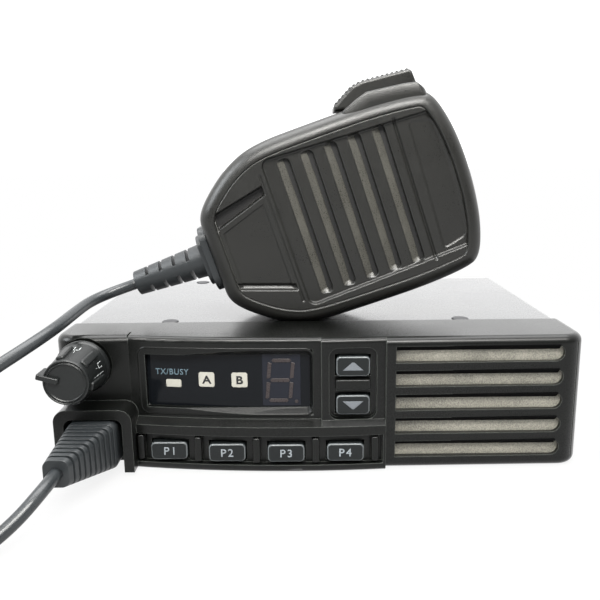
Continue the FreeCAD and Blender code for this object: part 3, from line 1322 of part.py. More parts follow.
def ptt_well():
    """Room for the lever and its pivot barrel, clear over the whole stroke."""
    gap = d.ptt_gap
    front, depth = d.ptt_front - gap, d.ptt_width + gap * 2
    well = slab("ptt_well_room", ptt_outline(gap, d.ptt_end_gap), front + depth, depth, "XZ")
    barrel = rod("ptt_barrel_room", d.ptt_pivot_radius + gap, depth, (d.ptt_pivot_s, front, d.ptt_pivot_t),
                 "y")
    return join("ptt_well", well, barrel)


def ptt_collar():
    """Raised shoulder round the lever, before it is split between the two shells."""
    rim = d.ptt_collar
    left, right = d.ptt_left - rim, d.ptt_right + d.ptt_end_gap + rim
    top, root_t = d.mic_side_half + rim, d.mic_side_half - d.collar_root
    corners = [(left, root_t), (right, root_t), (right, top - d.collar_right_drop), (d.ptt_ramp, top),
               (left, top - d.collar_left_drop)]
    return slab("ptt_collar_block", corners, d.ptt_front + d.ptt_width + rim, d.ptt_width + rim * 2, "XZ")


def face_frame():
    """Thin groove that frames the perforated face, and the line beside the badge's place."""
    left, right, half, width = d.face_left, d.face_right, d.face_half, d.face_groove
    bottom = mic_front + d.groove_depth
    outer = slab("face_frame_outer", rounded_rectangle(left, -half, right, half, d.face_corner), bottom,
                 d.groove_depth + over, "XZ")
    plan = rounded_rectangle(left + width, width - half, right - width, half - width, d.face_corner - width)
    inner = slab("face_frame_inner", plan, bottom + over, d.groove_depth + 3 * over, "XZ")
    line = box("face_line", (d.mic_line_s, mic_front - over, -d.mic_slot_half),
               (d.mic_line_s + width, bottom, d.mic_slot_half))
    return [cut("face_frame", outer, inner), line]


def mic_slots():
    """Slanted slots over the microphone, each with a narrow slit through its deep side."""
    cuts = []
    for i in range(int(d.mic_slot_count.number)):
        middle = d.mic_slot_first + d.mic_slot_pitch * i
        left = middle - d.mic_slot_width / 2
        right = middle + d.mic_slot_width / 2
        wedge = [(left, mic_front - over), (right, mic_front - over), (right, mic_front + d.mic_slot_depth),
                 (left, mic_front + d.mic_slot_sink)]
        cuts.append(slab(f"mic_slot_{i}", wedge, -d.mic_slot_half, d.mic_slot_half * 2))
        cuts.append(box(f"mic_slit_{i}", (right - d.mic_slit_width, mic_front, -d.mic_slot_half),
                        (right, mic_inner_front + over, d.mic_slot_half)))
    return cuts


def neck_recess():
    """Sunk panel at the cord's end, deepest along its upper edge."""
    left, right, low, high = d.neck_left, d.neck_right, d.neck_left_half, d.neck_right_half
    bottom = mic_front + d.neck_sink
    outer = slab("neck_outer", [(left, -low), (right, -high), (right, high), (left, low)], bottom,
                 d.neck_sink + over, "XZ")
    edge, top = d.face_groove, d.face_groove * 4
    plan = [(left + edge, edge - low), (right - edge, edge - high), (right - edge, high - top),
            (left + edge, low - top)]
    inner = slab("neck_inner", plan, bottom + over, d.neck_sink - d.neck_panel_sink + over, "XZ")
    return cut("neck_recess", outer, inner)


def badge_recess():
    left, right, half = d.badge_left, d.badge_right, d.badge_half
    short = half - d.badge_taper
    corners = [(left, -half), (right, -short, d.badge_arc, -1), (right, short), (left, half)]
    return slab("badge_recess", corners, mic_front + d.badge_sink, d.badge_sink + over, "XZ")


def at_screws(name, radius, start, length):
    """A bar or a hole along y at each of the handset's screws."""
    return [rod(f"{name}_{i}", radius, length, (s, start, t), "y")
            for i, (s, t) in enumerate(mic_screw_places)]


def handset_front():
    wall = d.mic_wall
    shell = mic_block("front_block", rounded, as_size(0), as_size(0), d.mic_front_depth, d.mic_front_edge, -1)
    room = mic_block("front_room", bevelled, wall, d.seat_gap, d.mic_front_depth - wall + d.seat_gap,
                     d.mic_front_edge - wall, -1)
    half = box("front_half", (-mic_reach, mic_front - over, -mic_reach), (mic_reach, 0, mic_reach))
    collar = overlap("front_collar", ptt_collar(), half)
    body = cut("front_hollow", join("front_with_collar", shell, collar), room)
    bosses = at_screws("front_boss", d.front_boss_radius, mic_inner_front - over, over - mic_inner_front)
    holes = at_screws("front_boss_hole", d.front_hole_radius, mic_inner_front, over - mic_inner_front)
    tools = [ptt_well(), neck_recess(), badge_recess()] + face_frame() + mic_slots() + holes
    mic_part("handset_front_shell", cut("handset_front_body", join("front_with_bosses", body, *bosses),
                                        *tools))


def handset_rear():
    wall, gap = d.mic_wall, d.seat_gap
    shell = mic_block("rear_block", rounded, as_size(0), gap, d.mic_back_depth - gap, d.mic_back_edge, 1)
    room = mic_block("rear_room", bevelled, wall, as_size(0), mic_inner_back, d.mic_back_edge - wall, 1)
    half = box("rear_half", (-mic_reach, gap, -mic_reach), (mic_reach, d.mic_back_depth + over, mic_reach))
    collar = overlap("rear_collar", ptt_collar(), half)
    body = cut("rear_hollow", join("rear_with_collar", shell, collar), room)
    bosses = at_screws("rear_boss", d.rear_boss_radius, gap, mic_inner_back + over - gap)
    holes = at_screws("rear_boss_hole", d.rear_hole_radius, -over, d.mic_back_depth + 2 * over)
    holes += at_screws("rear_head_room", d.head_room_radius, d.mic_head_y, d.mic_back_depth)
    mic_part("handset_rear_shell", cut("handset_rear_body", join("rear_with_bosses", body, *bosses),
                                       ptt_well(), *holes))


def handset_inside():
    """Mesh behind the slots, microphone capsule in its rubber holder, board and its switch."""
    mesh = box("handset_mesh_plate", (d.face_left + d.mesh_edge, mic_mesh_front, over - d.face_half),
               (d.mic_line_s - over, mic_mesh_front + d.mic_mesh_thick, d.face_half - over))
    mic_part("handset_mesh", bunch("handset_mesh_sheet", mesh))
    capsule_front = mic_mesh_front + d.mic_mesh_thick + d.seat_gap
    spot = (d.capsule_s, capsule_front, 0)
    mic_part("mic_capsule", bunch("capsule_body",
                                  rod("capsule_can", d.capsule_radius, d.capsule_depth, spot, "y")))
    length = d.mic_board_y - d.seat_gap - capsule_front
    sleeve = rod("capsule_sleeve", d.capsule_radius + d.holder_wall, length, spot, "y")
    hole = rod("capsule_sleeve_hole", d.capsule_radius + d.shaft_fit, d.capsule_depth, spot, "y")
    mic_part("capsule_holder", cut("capsule_holder_body", sleeve, hole))
    handset_board()
    hang_button()


def handset_board():
    half, low = d.mic_screw_t + 2, d.mic_board_neck_half
    left, right = d.mic_board_left, d.mic_board_right
    shoulder, bevel = d.mic_board_shoulder, d.mic_board_bevel
    plan = [(left, -low), (shoulder, -half), (right - bevel, -half), (right, bevel - half),
            (right, half - bevel), (right - bevel, half), (shoulder, half), (left, low)]
    plate = slab("handset_board_plate", plan, d.mic_board_y + d.board_thick, d.board_thick, "XZ")
    holes = at_screws("handset_board_hole", d.rear_boss_radius + d.boss_board_gap, as_size(0),
                      d.mic_back_depth)
    mic_part("handset_board", cut("handset_board_body", plate, *holes))
    half_switch, half_plunger = d.switch_length / 2, d.plunger_size / 2
    back = d.mic_board_y
    middle = back - d.switch_depth / 2
    body = box("ptt_switch_body", (d.switch_s - half_switch, back - d.switch_depth, d.switch_low),
               (d.switch_s + half_switch, back, d.switch_top))
    plunger = box("ptt_switch_plunger", (d.switch_s - half_plunger, middle - half_plunger, d.switch_top),
                  (d.switch_s + half_plunger, middle + half_plunger, d.switch_top + d.plunger_rise))
    mic_part("ptt_switch", join("ptt_switch_solid", body, plunger))
    heads = at_screws("handset_screw_head", d.mic_head_radius, d.mic_head_y, d.mic_head_height)
    shanks = at_screws("handset_screw_shank", d.mic_shank_radius, d.mic_head_y + over - d.mic_shank_length,
                       d.mic_shank_length)
    screws = [join(f"handset_screw_{i}", *pair) for i, pair in enumerate(zip(heads, shanks))]
    mic_part("handset_screws", bunch("handset_screw_set", *screws))


def hang_button():
    """Stud on the handset's back that drops into a hanger clip."""
    head_y = d.mic_back_depth + d.hang_reach - d.hang_head
    neck = rod("hang_neck", d.hang_neck_radius, head_y + over - d.mic_back_depth, (0, d.mic_back_depth, 0),
               "y")
    slope = d.hang_radius - d.hang_bevel
    head = rod("hang_head", d.hang_radius, d.hang_head - d.hang_bevel, (0, head_y, 0), "y")
    crown = cone("hang_crown", d.hang_radius, slope, d.hang_bevel,
                 (0, head_y + d.hang_head - d.hang_bevel, 0), "y")
    mic_part("hang_button", join("hang_button_solid", neck, head, crown))


def ptt_button():
    lever = slab("ptt_lever", ptt_outline(as_size(0), as_size(0)), d.ptt_front + d.ptt_width, d.ptt_width,
                 "XZ")
    lever = rounded("ptt_lever_round", lever, d.ptt_edge_radius,
                    lambda e: e.BoundBox.ZMin > d.ptt_root.number + 1 and e.BoundBox.YLength < 0.01)
    barrel = rod("ptt_barrel", d.ptt_pivot_radius, d.ptt_width + d.ptt_trunnion * 2,
                 (d.ptt_pivot_s, d.ptt_front - d.ptt_trunnion, d.ptt_pivot_t), "y")
    ribs = []
    count = d.ptt_rib_count.number
    half = d.ptt_rib_width / 2
    low, high = d.ptt_front + d.ptt_rib_edge, d.ptt_front + d.ptt_width - d.ptt_rib_edge
    for i in range(int(count)):
        share = (i + 0.5) / count
        rib_s = d.ptt_ramp + (d.ptt_right - d.ptt_end_lean - d.ptt_ramp) * share
        top = d.ptt_top - d.ptt_slope * share
        ribs.append(box(f"ptt_rib_{i}", (rib_s - half, low, top - over),
                        (rib_s + half, high, top + d.ptt_rib_height)))
    mic_part("ptt_button", join("ptt_button_body", lever, barrel, *ribs))


def relief_plate(name, right, thick, half, depth, radius):
    """Rounded plate across the handset's axis, with its right face at s = right."""
    y = d.relief_y
    block = box(f"{name}_block", (right - thick, y - depth, -half), (right, y + depth, half))
    return rounded(f"{name}_round", block, radius,
                   lambda e: e.BoundBox.XLength > 1 and e.BoundBox.YLength < 0.01 and e.BoundBox.ZLength < 0.01)


def strain_relief():
    """Flange and step at the handset, then a tapering sleeve with pairs of slots that let it bend."""
    start = -d.mic_left
    y = d.relief_y
    flange = relief_plate("relief_flange", start, d.relief_flange, d.relief_flange_half,
                          d.relief_flange_depth, d.relief_flange_radius)
    step = relief_plate("relief_step", start - d.relief_flange, d.relief_step, d.relief_step_half,
                        d.relief_step_depth, d.relief_step_radius)
    sleeve_end = start - d.relief_length
    sleeve_length = d.relief_length - d.relief_flange - over
    sleeve = cone("relief_sleeve", d.relief_end_radius, d.relief_radius, sleeve_length, (sleeve_end, y, 0),
                  "x")
    pitch = (d.relief_length - d.relief_flange - d.relief_step) / (d.relief_slots + 1)
    reach = d.relief_radius * 2
    gaps = []
    for i in range(int(d.relief_slots.number)):
        left = sleeve_end + pitch * (i + 1) - d.relief_slot_width / 2
        for side, (low, high) in enumerate(((-reach, -d.relief_web), (d.relief_web, reach))):
            gaps.append(box(f"relief_gap_{i}_{side}", (left, y - reach, low),
                            (left + d.relief_slot_width, y + reach, high)))
    mic_part("strain_relief", cut("strain_relief_body", join("relief_solid", flange, step, sleeve), *gaps))


handset_front()
handset_rear()
handset_inside()
ptt_button()
strain_relief()


# Cord: two free leads and a curled stretch that lies on the table beside the radio

def many_cornered(centre, along, sideways, radius, sides):
    """Closed outline of a cord's section, square to its way, with its corners at the radius."""
    upright = along.cross(sideways).normalize()
    angles = [math.tau * (k + 0.5) / sides for k in range(sides)]
    ring = [centre + (sideways * math.cos(a) + upright * math.sin(a)) * radius for a in angles]
    return Part.makePolygon(ring + ring[:1])


def section_area(radius, sides):
    return sides / 2 * math.sin(math.tau / sides) * radius**2


def rounded_path(name, points):
    """Straight runs joined by tangent arcs, as one wire; prints the tightest bend."""
    corners = []
    edges = []
    for before, corner, after in zip(points, points[1:], points[2:]):
        into, out = corner - before, after - corner
        half_turn = into.getAngle(out) / 2
        reach = 0.45 * min(into.Length, out.Length)
        corners.append((corner - into * (reach / into.Length), corner + out * (reach / out.Length),
                        corner, reach / math.tan(half_turn)))
    last = points[0]
    for start, end, corner, radius in corners:
        edges.append(Part.LineSegment(last, start).toShape())
        chord_middle = (start + end) / 2
        rise = (corner - chord_middle).Length
        half_chord = (end - start).Length / 2
        swing = math.atan2(rise, half_chord)
        middle = chord_middle + (corner - chord_middle) * (half_chord * math.tan(swing / 2) / rise)
        edges.append(Part.Arc(start, middle, end).toShape())
        last = end
    edges.append(Part.LineSegment(last, points[-1]).toShape())
    tightest = min(c[3] for c in corners)
    print(name, "tightest bend", round(tightest, 1), "length", round(sum(e.Length for e in edges), 1))
    return Part.Wire(edges)


def tube_feature(name, wire, profile):
    shape = wire.makePipeShell([profile], True, False)
    if not isinstance(shape, Part.Solid):
        shape = Part.makeSolid(shape) if shape.ShapeType == "Shell" else shape
    thing = doc.addObject("Part::Feature", f"{name}_body")
    thing.Shape = shape
    return part(name, thing)


def lead(name, points):
    """Free stretch of cord, with an eight-sided section."""
    sides, radius = 8, d.cord_radius.number
    wire = rounded_path(name, points)
    along = (points[1] - points[0]).normalize()
    sideways = along.cross(up).normalize()
    thing = tube_feature(name, wire, many_cornered(points[0], along, sideways, radius, sides))
    ideal = section_area(radius, sides) * wire.Length
    print(name, "volume share", round(thing.Shape.Volume / ideal, 3))


heading = math.radians(d.curl_heading.number)
leg_way = Vector(math.cos(heading), math.sin(heading), 0)
turn_way = Vector(-math.sin(heading), math.cos(heading), 0)
up = Vector(0, 0, 1)
coil_height = d.curl_radius.number + d.cord_radius.number + d.curl_lift.number
coil_start = Vector(d.curl_start_x.number, d.curl_start_y.number, coil_height)
leg, bend = d.curl_leg.number, d.curl_bend.number
bend_start = coil_start + leg_way * leg
bend_centre = bend_start + turn_way * bend
coil_length = leg * 2 + math.pi * bend


def coil_axis(distance):
    """Point, forward way and sideways way of the curl's centre line."""
    if distance < leg:
        return coil_start + leg_way * distance, leg_way, turn_way
    if distance < leg + math.pi * bend:
        angle = (distance - leg) / bend
        side = turn_way * math.cos(angle) - leg_way * math.sin(angle)
        way = leg_way * math.cos(angle) + turn_way * math.sin(angle)
        return bend_centre - side * bend, way, side
    rest = distance - leg - math.pi * bend
    return bend_centre + turn_way * bend - leg_way * rest, -leg_way, -turn_way


ramp_turns = 1.5
curl_turns = round(coil_length / d.curl_pitch.number)


def curl_point(turn):
    """Point of the curled wire after so many turns, growing from the centre line at both ends."""
    share = min(turn, curl_turns - turn, ramp_turns) / ramp_turns
    radius = d.curl_radius.number * (3 - 2 * share) * share**2
    centre, _, side = coil_axis(coil_length * turn / curl_turns)
    angle = math.tau * turn
    return centre + side * (radius * math.cos(angle)) + up * (radius * math.sin(angle))


def curl_way(turn):
    """Way of the curled wire, which leaves both ends along the centre line."""
    if turn in (0, curl_turns):
        return coil_axis(coil_length * turn / curl_turns)[1]
    step = 1e-4
    return (curl_point(turn + step) - curl_point(turn - step)).normalize()


def biarc(start, way_in, end, way_out):
    """Two tangent arcs from start to end with the given ways at both."""
    across = end - start
    both = way_in + way_out
    spread = 2 * (1 - way_in.dot(way_out))
    reach = (math.sqrt(across.dot(both)**2 + spread * across.dot(across)) - across.dot(both)) / spread
    first, second = start + way_in * reach, end - way_out * reach
    joint = (first + second) / 2
    arcs = []
    for a, corner, b in ((start, first, joint), (joint, second, end)):
        middle = (a + b) / 2
        rise = (corner - middle).Length
        half_chord = (b - a).Length / 2
        bulge = half_chord * math.tan(math.atan2(rise, half_chord) / 2)
        arcs.append(Part.Arc(a, middle + (corner - middle) * (bulge / rise), b).toShape())
    return arcs


def least_gap():
    """Smallest distance between neighbouring turns, less the wire's own thickness."""
    steps = 24
    wire = 2 * d.cord_radius.number
    points = [curl_point(i / steps) for i in range(curl_turns * steps + 1)]
    along = [0]
    for a, b in zip(points, points[1:]):
        along.append(along[-1] + (b - a).Length)
    gap = min((points[i] - points[j]).Length for i in range(len(points))
              for j in range(i, min(i + steps * 2, len(points))) if along[j] - along[i] > wire * 2)
    return gap - wire


def cord_curls():
    lead_in = d.cord_radius.number * 2
    first, last = curl_point(0), curl_point(curl_turns)
    edges = [Part.LineSegment(first - leg_way * lead_in, first).toShape()]
    for i in range(curl_turns * 2):
        a, b = i / 2, (i + 1) / 2
        edges += biarc(curl_point(a), curl_way(a), curl_point(b), curl_way(b))
    edges.append(Part.LineSegment(last, last - leg_way * lead_in).toShape())
    wire = Part.Wire(edges)
    sides, radius = 6, d.cord_radius.number
    centre = first - leg_way * lead_in
    thing = tube_feature("cord_curls", wire, many_cornered(centre, leg_way, turn_way, radius, sides))
    share = thing.Shape.Volume / (section_area(radius, sides) * wire.Length)
    print("curls", curl_turns, "length", round(wire.Length, 1), "least gap", round(least_gap(), 2),
          "volume share", round(share, 3))
    return centre, last - leg_way * lead_in


def mic_frame(s, y, t):
    return mic_place.multVec(Vector(s, y, t))


coil_first, coil_last = cord_curls()
relief_end = mic_frame(-d.mic_left.number - d.relief_length.number, d.relief_y.number, 0)
relief_way = mic_place.Rotation.multVec(Vector(-1, 0, 0))
lead("mic_lead", [
    relief_end, relief_end + relief_way * 9, Vector(-73.6, -30, 47.9), Vector(-74.6, -43, 46.9),
    Vector(-75.2, -56, 45.8), Vector(-79.5, -68, 43), Vector(-88, -80, 38), Vector(-97, -93, 28.5),
    Vector(-105, -107, 18), Vector(-115, -120, 8.5), Vector(-129, -129, 4.2), Vector(-146, -131.5, 3.2),
    Vector(-160, -127.5, 4.6), coil_last - leg_way * d.curl_lead.number, coil_last,
])
boot_end = Vector(at.boot_end_x.number, at.boot_front_y.number, d.boot_end_z.number)
lead("plug_lead", [
    boot_end, boot_end + Vector(0, -8.2, 0), Vector(-75, -96, 6), Vector(-82, -103.5, 2),
    Vector(-90, -107.5, 2), Vector(-98.5, -102.5, 3.6), coil_first - leg_way * d.curl_lead.number, coil_first,
])
doc.recompute()

# Checks and export
failed = [thing.Name for thing in doc.Objects if "Invalid" in thing.State or "Error" in thing.State]
failed += [thing.Label for thing in parts if thing.Shape.isNull() or not thing.Shape.isValid()]
if failed:
    raise RuntimeError(f"failed features: {failed}")
os.makedirs("parts", exist_ok=True)
for thing in parts:
    print(thing.Label, len(thing.Shape.Solids), round(thing.Shape.Volume, 1))
    thing.Shape.exportStep(f"parts/{thing.Label}.step")
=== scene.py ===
# Mobile two-way radio with its fist microphone: the studio, the finishes and the finer forms.
# Places are worked out in millimetres and turned into metres where a mesh is made.

import math

import bmesh
import bpy
import numpy as np
from mathutils import Matrix, Vector


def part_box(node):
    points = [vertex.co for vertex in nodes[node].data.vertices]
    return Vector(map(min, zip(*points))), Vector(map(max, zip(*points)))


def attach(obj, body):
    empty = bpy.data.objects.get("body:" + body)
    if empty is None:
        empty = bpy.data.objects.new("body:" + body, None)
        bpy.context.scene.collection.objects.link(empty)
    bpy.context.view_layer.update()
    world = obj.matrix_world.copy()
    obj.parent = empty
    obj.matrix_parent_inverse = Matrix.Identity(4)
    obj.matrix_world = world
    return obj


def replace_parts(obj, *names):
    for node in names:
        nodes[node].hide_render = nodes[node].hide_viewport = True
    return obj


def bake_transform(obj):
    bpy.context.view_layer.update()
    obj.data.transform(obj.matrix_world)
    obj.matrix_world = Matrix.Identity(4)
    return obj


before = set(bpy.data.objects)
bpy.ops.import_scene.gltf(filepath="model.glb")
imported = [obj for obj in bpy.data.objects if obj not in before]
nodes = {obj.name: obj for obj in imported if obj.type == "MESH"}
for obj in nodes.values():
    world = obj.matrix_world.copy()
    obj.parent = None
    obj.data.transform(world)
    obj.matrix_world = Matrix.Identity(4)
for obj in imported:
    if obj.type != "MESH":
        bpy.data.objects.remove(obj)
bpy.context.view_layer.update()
MM = 0.001


# Camera
# It looks slightly down at the panel from in front, as the photograph does, whose frame is 600
# pixels wide. Its place and angles were worked out from the corners of the radio.

def new_object(name, data):
    """Object in the scene that shows the given data."""
    made = bpy.data.objects.new(name, data)
    bpy.context.scene.collection.objects.link(made)
    return made


def add_camera():
    """Turned about Z, tilted about X and rolled about its own view, then moved to its place."""
    sensor, frame_pixels, focal_pixels = 36, 600, 667
    place, yaw, down, roll = (-2.8, -243.5, 92.4), 0.54, 11.85, -0.73
    data = bpy.data.cameras.new("photo_camera")
    data.sensor_width = sensor
    data.lens = sensor * focal_pixels / frame_pixels
    camera = new_object("photo_camera", data)
    turned = Matrix.Translation(Vector(place) * MM)
    for angle, axis in ((yaw, "Z"), (90 - down, "X"), (roll, "Z")):
        turned = turned @ Matrix.Rotation(math.radians(angle), 4, axis)
    camera.matrix_world = turned
    bpy.context.scene.camera = camera


add_camera()
bpy.context.scene.view_settings.view_transform = "Standard"


# Studio
# A floor that shows white but keeps a soft shadow near the radio, a white room that is brighter
# behind the object than in front of it, and soft lights above, to the left and in front.

def fill(node, values):
    """Sets inputs of a node, given by their names or numbers."""
    for name, value in values.items():
        node.inputs[name].default_value = value


def shader_node(tree, kind, values={}, **settings):
    """A new node with its settings and the values of its unlinked inputs."""
    made = tree.nodes.new("ShaderNode" + kind)
    for name, value in settings.items():
        setattr(made, name, value)
    fill(made, values)
    return made


def map_range(tree, low, high, new_low, new_high):
    """Node that carries a value from one range to another and holds it at the ends."""
    ends = {"From Min": low, "From Max": high, "To Min": new_low, "To Max": new_high}
    return shader_node(tree, "MapRange", ends)


def wire(tree, *links):
    """Joins sockets: each link is a node, its output, the next node and its input."""
    for start, way_out, end, way_in in links:
        tree.links.new(start.outputs[way_out], end.inputs[way_in])


def new_material(name):
    """Material, its tree of nodes and its own shader."""
    material = bpy.data.materials.new(name)
    material.use_nodes = True
    tree = material.node_tree
    return material, tree, tree.nodes["Principled BSDF"]


def seen_directly(tree):
    """One for rays from the camera, from glossy surfaces and through clear ones, else zero."""
    path = shader_node(tree, "LightPath")
    total = path.outputs["Is Camera Ray"]
    for name in ("Is Glossy Ray", "Is Transmission Ray"):
        either = shader_node(tree, "Math", operation="MAXIMUM")
        tree.links.new(total, either.inputs[0])
        tree.links.new(path.outputs[name], either.inputs[1])
        total = either.outputs[0]
    return total


def add_floor():
    """White disc whose own white takes over with the distance from the object."""
    reach, rim, drop, grey = 6.0, 64, 0.0001, 0.4
    near, far, near_share, far_share = 0.06, 0.24, 0.84, 1.0
    turn = np.linspace(0, math.tau, rim, endpoint=False)
    ring = np.stack([reach * np.cos(turn), reach * np.sin(turn), np.zeros(rim)], axis=1)
    mesh = bpy.data.meshes.new("floor")
    mesh.from_pydata(ring.tolist(), [], [tuple(range(rim))])
    floor = new_object("floor", mesh)
    material, tree, shader = new_material("floor_white")
    fill(shader, {"Base Color": (grey, grey, grey, 1), "Roughness": 0.9, "Specular IOR Level": 0.1})
    glow = shader_node(tree, "Emission", {"Color": (1, 1, 1, 1), "Strength": 1.0})
    place = shader_node(tree, "TexCoord")
    away = shader_node(tree, "VectorMath", operation="LENGTH")
    share = map_range(tree, near, far, near_share, far_share)
    factor = shader_node(tree, "Math", operation="MULTIPLY")
    blend = shader_node(tree, "MixShader")
    tree.links.new(seen_directly(tree), factor.inputs[1])
    wire(tree, (place, "Object", away, 0), (away, "Value", share, "Value"), (share, "Result", factor, 0),
         (factor, 0, blend, "Fac"), (shader, "BSDF", blend, 1), (glow, "Emission", blend, 2),
         (blend, "Shader", tree.nodes["Material Output"], "Surface"))
    mesh.materials.append(material)
    floor.location = (0, 0, -drop)


def add_light(name, place, aim, size, power, tone=(1, 1, 1)):
    """Rectangular lamp at a place, turned to its aim."""
    data = bpy.data.lights.new(name, "AREA")
    data.shape = "RECTANGLE"
    data.size, data.size_y = size
    data.energy = power
    data.color = tone
    light = new_object(name, data)
    light.location = place
    light.rotation_mode = "QUATERNION"
    light.rotation_quaternion = (Vector(aim) - Vector(place)).to_track_quat("-Z", "Y")


def add_world():
    """White to the camera; for light and reflections bright above and behind, dim in front."""
    world = bpy.data.worlds.new("studio")
    bpy.context.scene.world = world
    world.use_nodes = True
    tree = world.node_tree
    background = tree.nodes["Background"]
    fill(background, {"Color": (1, 1, 1, 1)})
    place = shader_node(tree, "TexCoord")
    split = shader_node(tree, "SeparateXYZ")
    back = map_range(tree, -0.5, 0.4, 0.05, 0.9)
    height = map_range(tree, 0.1, 0.9, 0.0, 0.6)
    total = shader_node(tree, "Math", operation="ADD")
    path = shader_node(tree, "LightPath")
    direct = shader_node(tree, "Math", operation="MAXIMUM")
    behind = shader_node(tree, "Math", operation="MULTIPLY")
    either = shader_node(tree, "Math", operation="MAXIMUM")
    strength = shader_node(tree, "Mix", {"B": 1.5}, data_type="FLOAT")
    wire(tree, (place, "Generated", split, 0), (split, "Y", back, "Value"), (split, "Z", height, "Value"),
         (back, "Result", total, 0), (height, "Result", total, 1), (path, "Is Camera Ray", direct, 0),
         (path, "Is Transmission Ray", direct, 1), (path, "Is Glossy Ray", behind, 0),
         (back, "Result", behind, 1), (direct, 0, either, 0), (behind, 0, either, 1),
         (either, 0, strength, "Factor"), (total, 0, strength, "A"),
         (strength, "Result", background, "Strength"))


add_floor()
add_world()
add_light("top_softbox", (0.0, 0.1, 0.75), (0, 0, 0.03), (0.9, 0.5), 9.0)
add_light("left_softbox", (-0.6, -0.2, 0.45), (0, -0.02, 0.05), (0.35, 0.35), 4.0, (0.93, 0.97, 1.0))
add_light("window_light", (0.05, -0.5, 0.62), (0, -0.04, 0.06), (0.8, 0.25), 9.0, (1.0, 0.99, 0.96))
add_light("near_light", (0.0, -0.24, 0.3), (0, -0.04, 0.1), (0.25, 0.06), 0.9, (1.0, 0.98, 0.94))


# Chassis, cover and screws
# The chassis is die cast with a thin black powder paint. The cover is pressed from steel sheet,
# painted a finer black under clear lacquer and held down by four screws.

def colour(red, green, blue):
    """Linear colour from the three 0 to 255 values that it should show."""
    shares = (c / 255 for c in (red, green, blue))
    return tuple(((s + 0.055) / 1.055) ** 2.4 if s > 0.04 else s / 12.92 for s in shares) + (1,)


def grain_group():
    """Moulded or painted grain: bump, specks and slow changes of tone, over softened edges.

    The tone is multiplied by 1 + mottle * (slow noise + specks) + edge light, the last only where the
    softened normal turns away from the true one, which is along edges: it is a painted highlight.
    """
    tree = bpy.data.node_groups.new("moulded_grain", "ShaderNodeTree")
    face = tree.interface
    face.new_socket("Colour", in_out="INPUT", socket_type="NodeSocketColor")
    for name in ("Roughness", "Grain scale", "Grain depth", "Mottle", "Edge", "Edge light"):
        face.new_socket(name, in_out="INPUT", socket_type="NodeSocketFloat")
    for name, kind in (("Colour", "Color"), ("Roughness", "Float"), ("Normal", "Vector")):
        face.new_socket(name, in_out="OUTPUT", socket_type="NodeSocket" + kind)
    entry = tree.nodes.new("NodeGroupInput")
    leave = tree.nodes.new("NodeGroupOutput")
    place = shader_node(tree, "TexCoord")
    fine = shader_node(tree, "TexNoise", {"Detail": 2.0, "Roughness": 0.6})
    broad = shader_node(tree, "TexNoise", {"Scale": 60.0, "Detail": 3.0})
    bump = shader_node(tree, "Bump", {"Strength": 0.8})
    edges = shader_node(tree, "Bevel", samples=6)
    geometry = shader_node(tree, "NewGeometry")
    facing = shader_node(tree, "VectorMath", operation="DOT_PRODUCT")
    turned = map_range(tree, 0.995, 0.8, 0.0, 1.0)
    slow = map_range(tree, 0.35, 0.65, -0.4, 0.4)
    specks = map_range(tree, 0.3, 0.7, -1.0, 1.0)
    # The lightening along edges that this adds is a painted highlight.
    painted_edge_light, amount, gloss = (shader_node(tree, "Math", {1: 0.5}, operation="MULTIPLY")
                           for _ in range(3))
    both, lift, raised, rough = (shader_node(tree, "Math", {1: 1.0}, operation="ADD")
                                 for _ in range(4))
    tint = shader_node(tree, "VectorMath", operation="SCALE")
    wire(tree, (place, "Object", fine, "Vector"), (place, "Object", broad, "Vector"),
         (entry, "Grain scale", fine, "Scale"), (entry, "Edge", edges, "Radius"),
         (edges, "Normal", bump, "Normal"), (edges, "Normal", facing, 0), (geometry, "Normal", facing, 1),
         (facing, "Value", turned, "Value"), (turned, "Result", painted_edge_light, 0), (entry, "Edge light", painted_edge_light, 1),
         (fine, "Fac", bump, "Height"), (entry, "Grain depth", bump, "Distance"),
         (broad, "Fac", slow, "Value"), (fine, "Fac", specks, "Value"), (slow, "Result", both, 0),
         (specks, "Result", both, 1), (both, 0, amount, 0), (entry, "Mottle", amount, 1),
         (amount, 0, lift, 0), (lift, 0, raised, 0), (painted_edge_light, 0, raised, 1), (entry, "Colour", tint, 0),
         (raised, 0, tint, "Scale"), (amount, 0, gloss, 0), (entry, "Roughness", rough, 0),
         (gloss, 0, rough, 1), (tint, 0, leave, "Colour"), (rough, 0, leave, "Roughness"),
         (bump, "Normal", leave, "Normal"))
    return tree


grain = grain_group()


def grained(name, tone, roughness, grain_mm=0.35, depth_mm=0.02, mottle=0.12, edge_mm=0.3, edge_light=0.6,
            **sockets):
    """Material with moulded or painted grain and a painted edge highlight; sockets are plain values of the
    shader.
    """
    material, tree, shader = new_material(name)
    values = {"Colour": colour(*tone), "Roughness": roughness, "Grain scale": 1 / (grain_mm * MM),
              "Grain depth": depth_mm * MM, "Mottle": mottle, "Edge": edge_mm * MM, "Edge light": edge_light}
    effect = shader_node(tree, "Group")
    effect.node_tree = grain
    fill(effect, values)
    wire(tree, (effect, "Colour", shader, "Base Color"), (effect, "Roughness", shader, "Roughness"),
         (effect, "Normal", shader, "Normal"))
    fill(shader, {name.replace("_", " "): value for name, value in sockets.items()})
    return material


def dress(material, *names):
    """Gives CAD nodes a finish; their meshes stay as packed."""
    for name in names:
        thing = nodes[name]
        thing.data.materials.clear()
        thing.data.materials.append(material)


dress(grained("cover_paint", (30, 31, 34), 0.3, depth_mm=0.01, grain_mm=0.45, edge_mm=0.4,
              Coat_Weight=1.0, Coat_IOR=1.7, Coat_Roughness=0.15), "top_cover")
dress(grained("cast_paint", (38, 39, 40), 0.48, depth_mm=0.05, grain_mm=0.6), "chassis")
dress(grained("blackened_screw", (60, 60, 64), 0.35, Metallic=1.0, depth_mm=0.006), "cover_screws",
      "board_screws", "handset_screws")
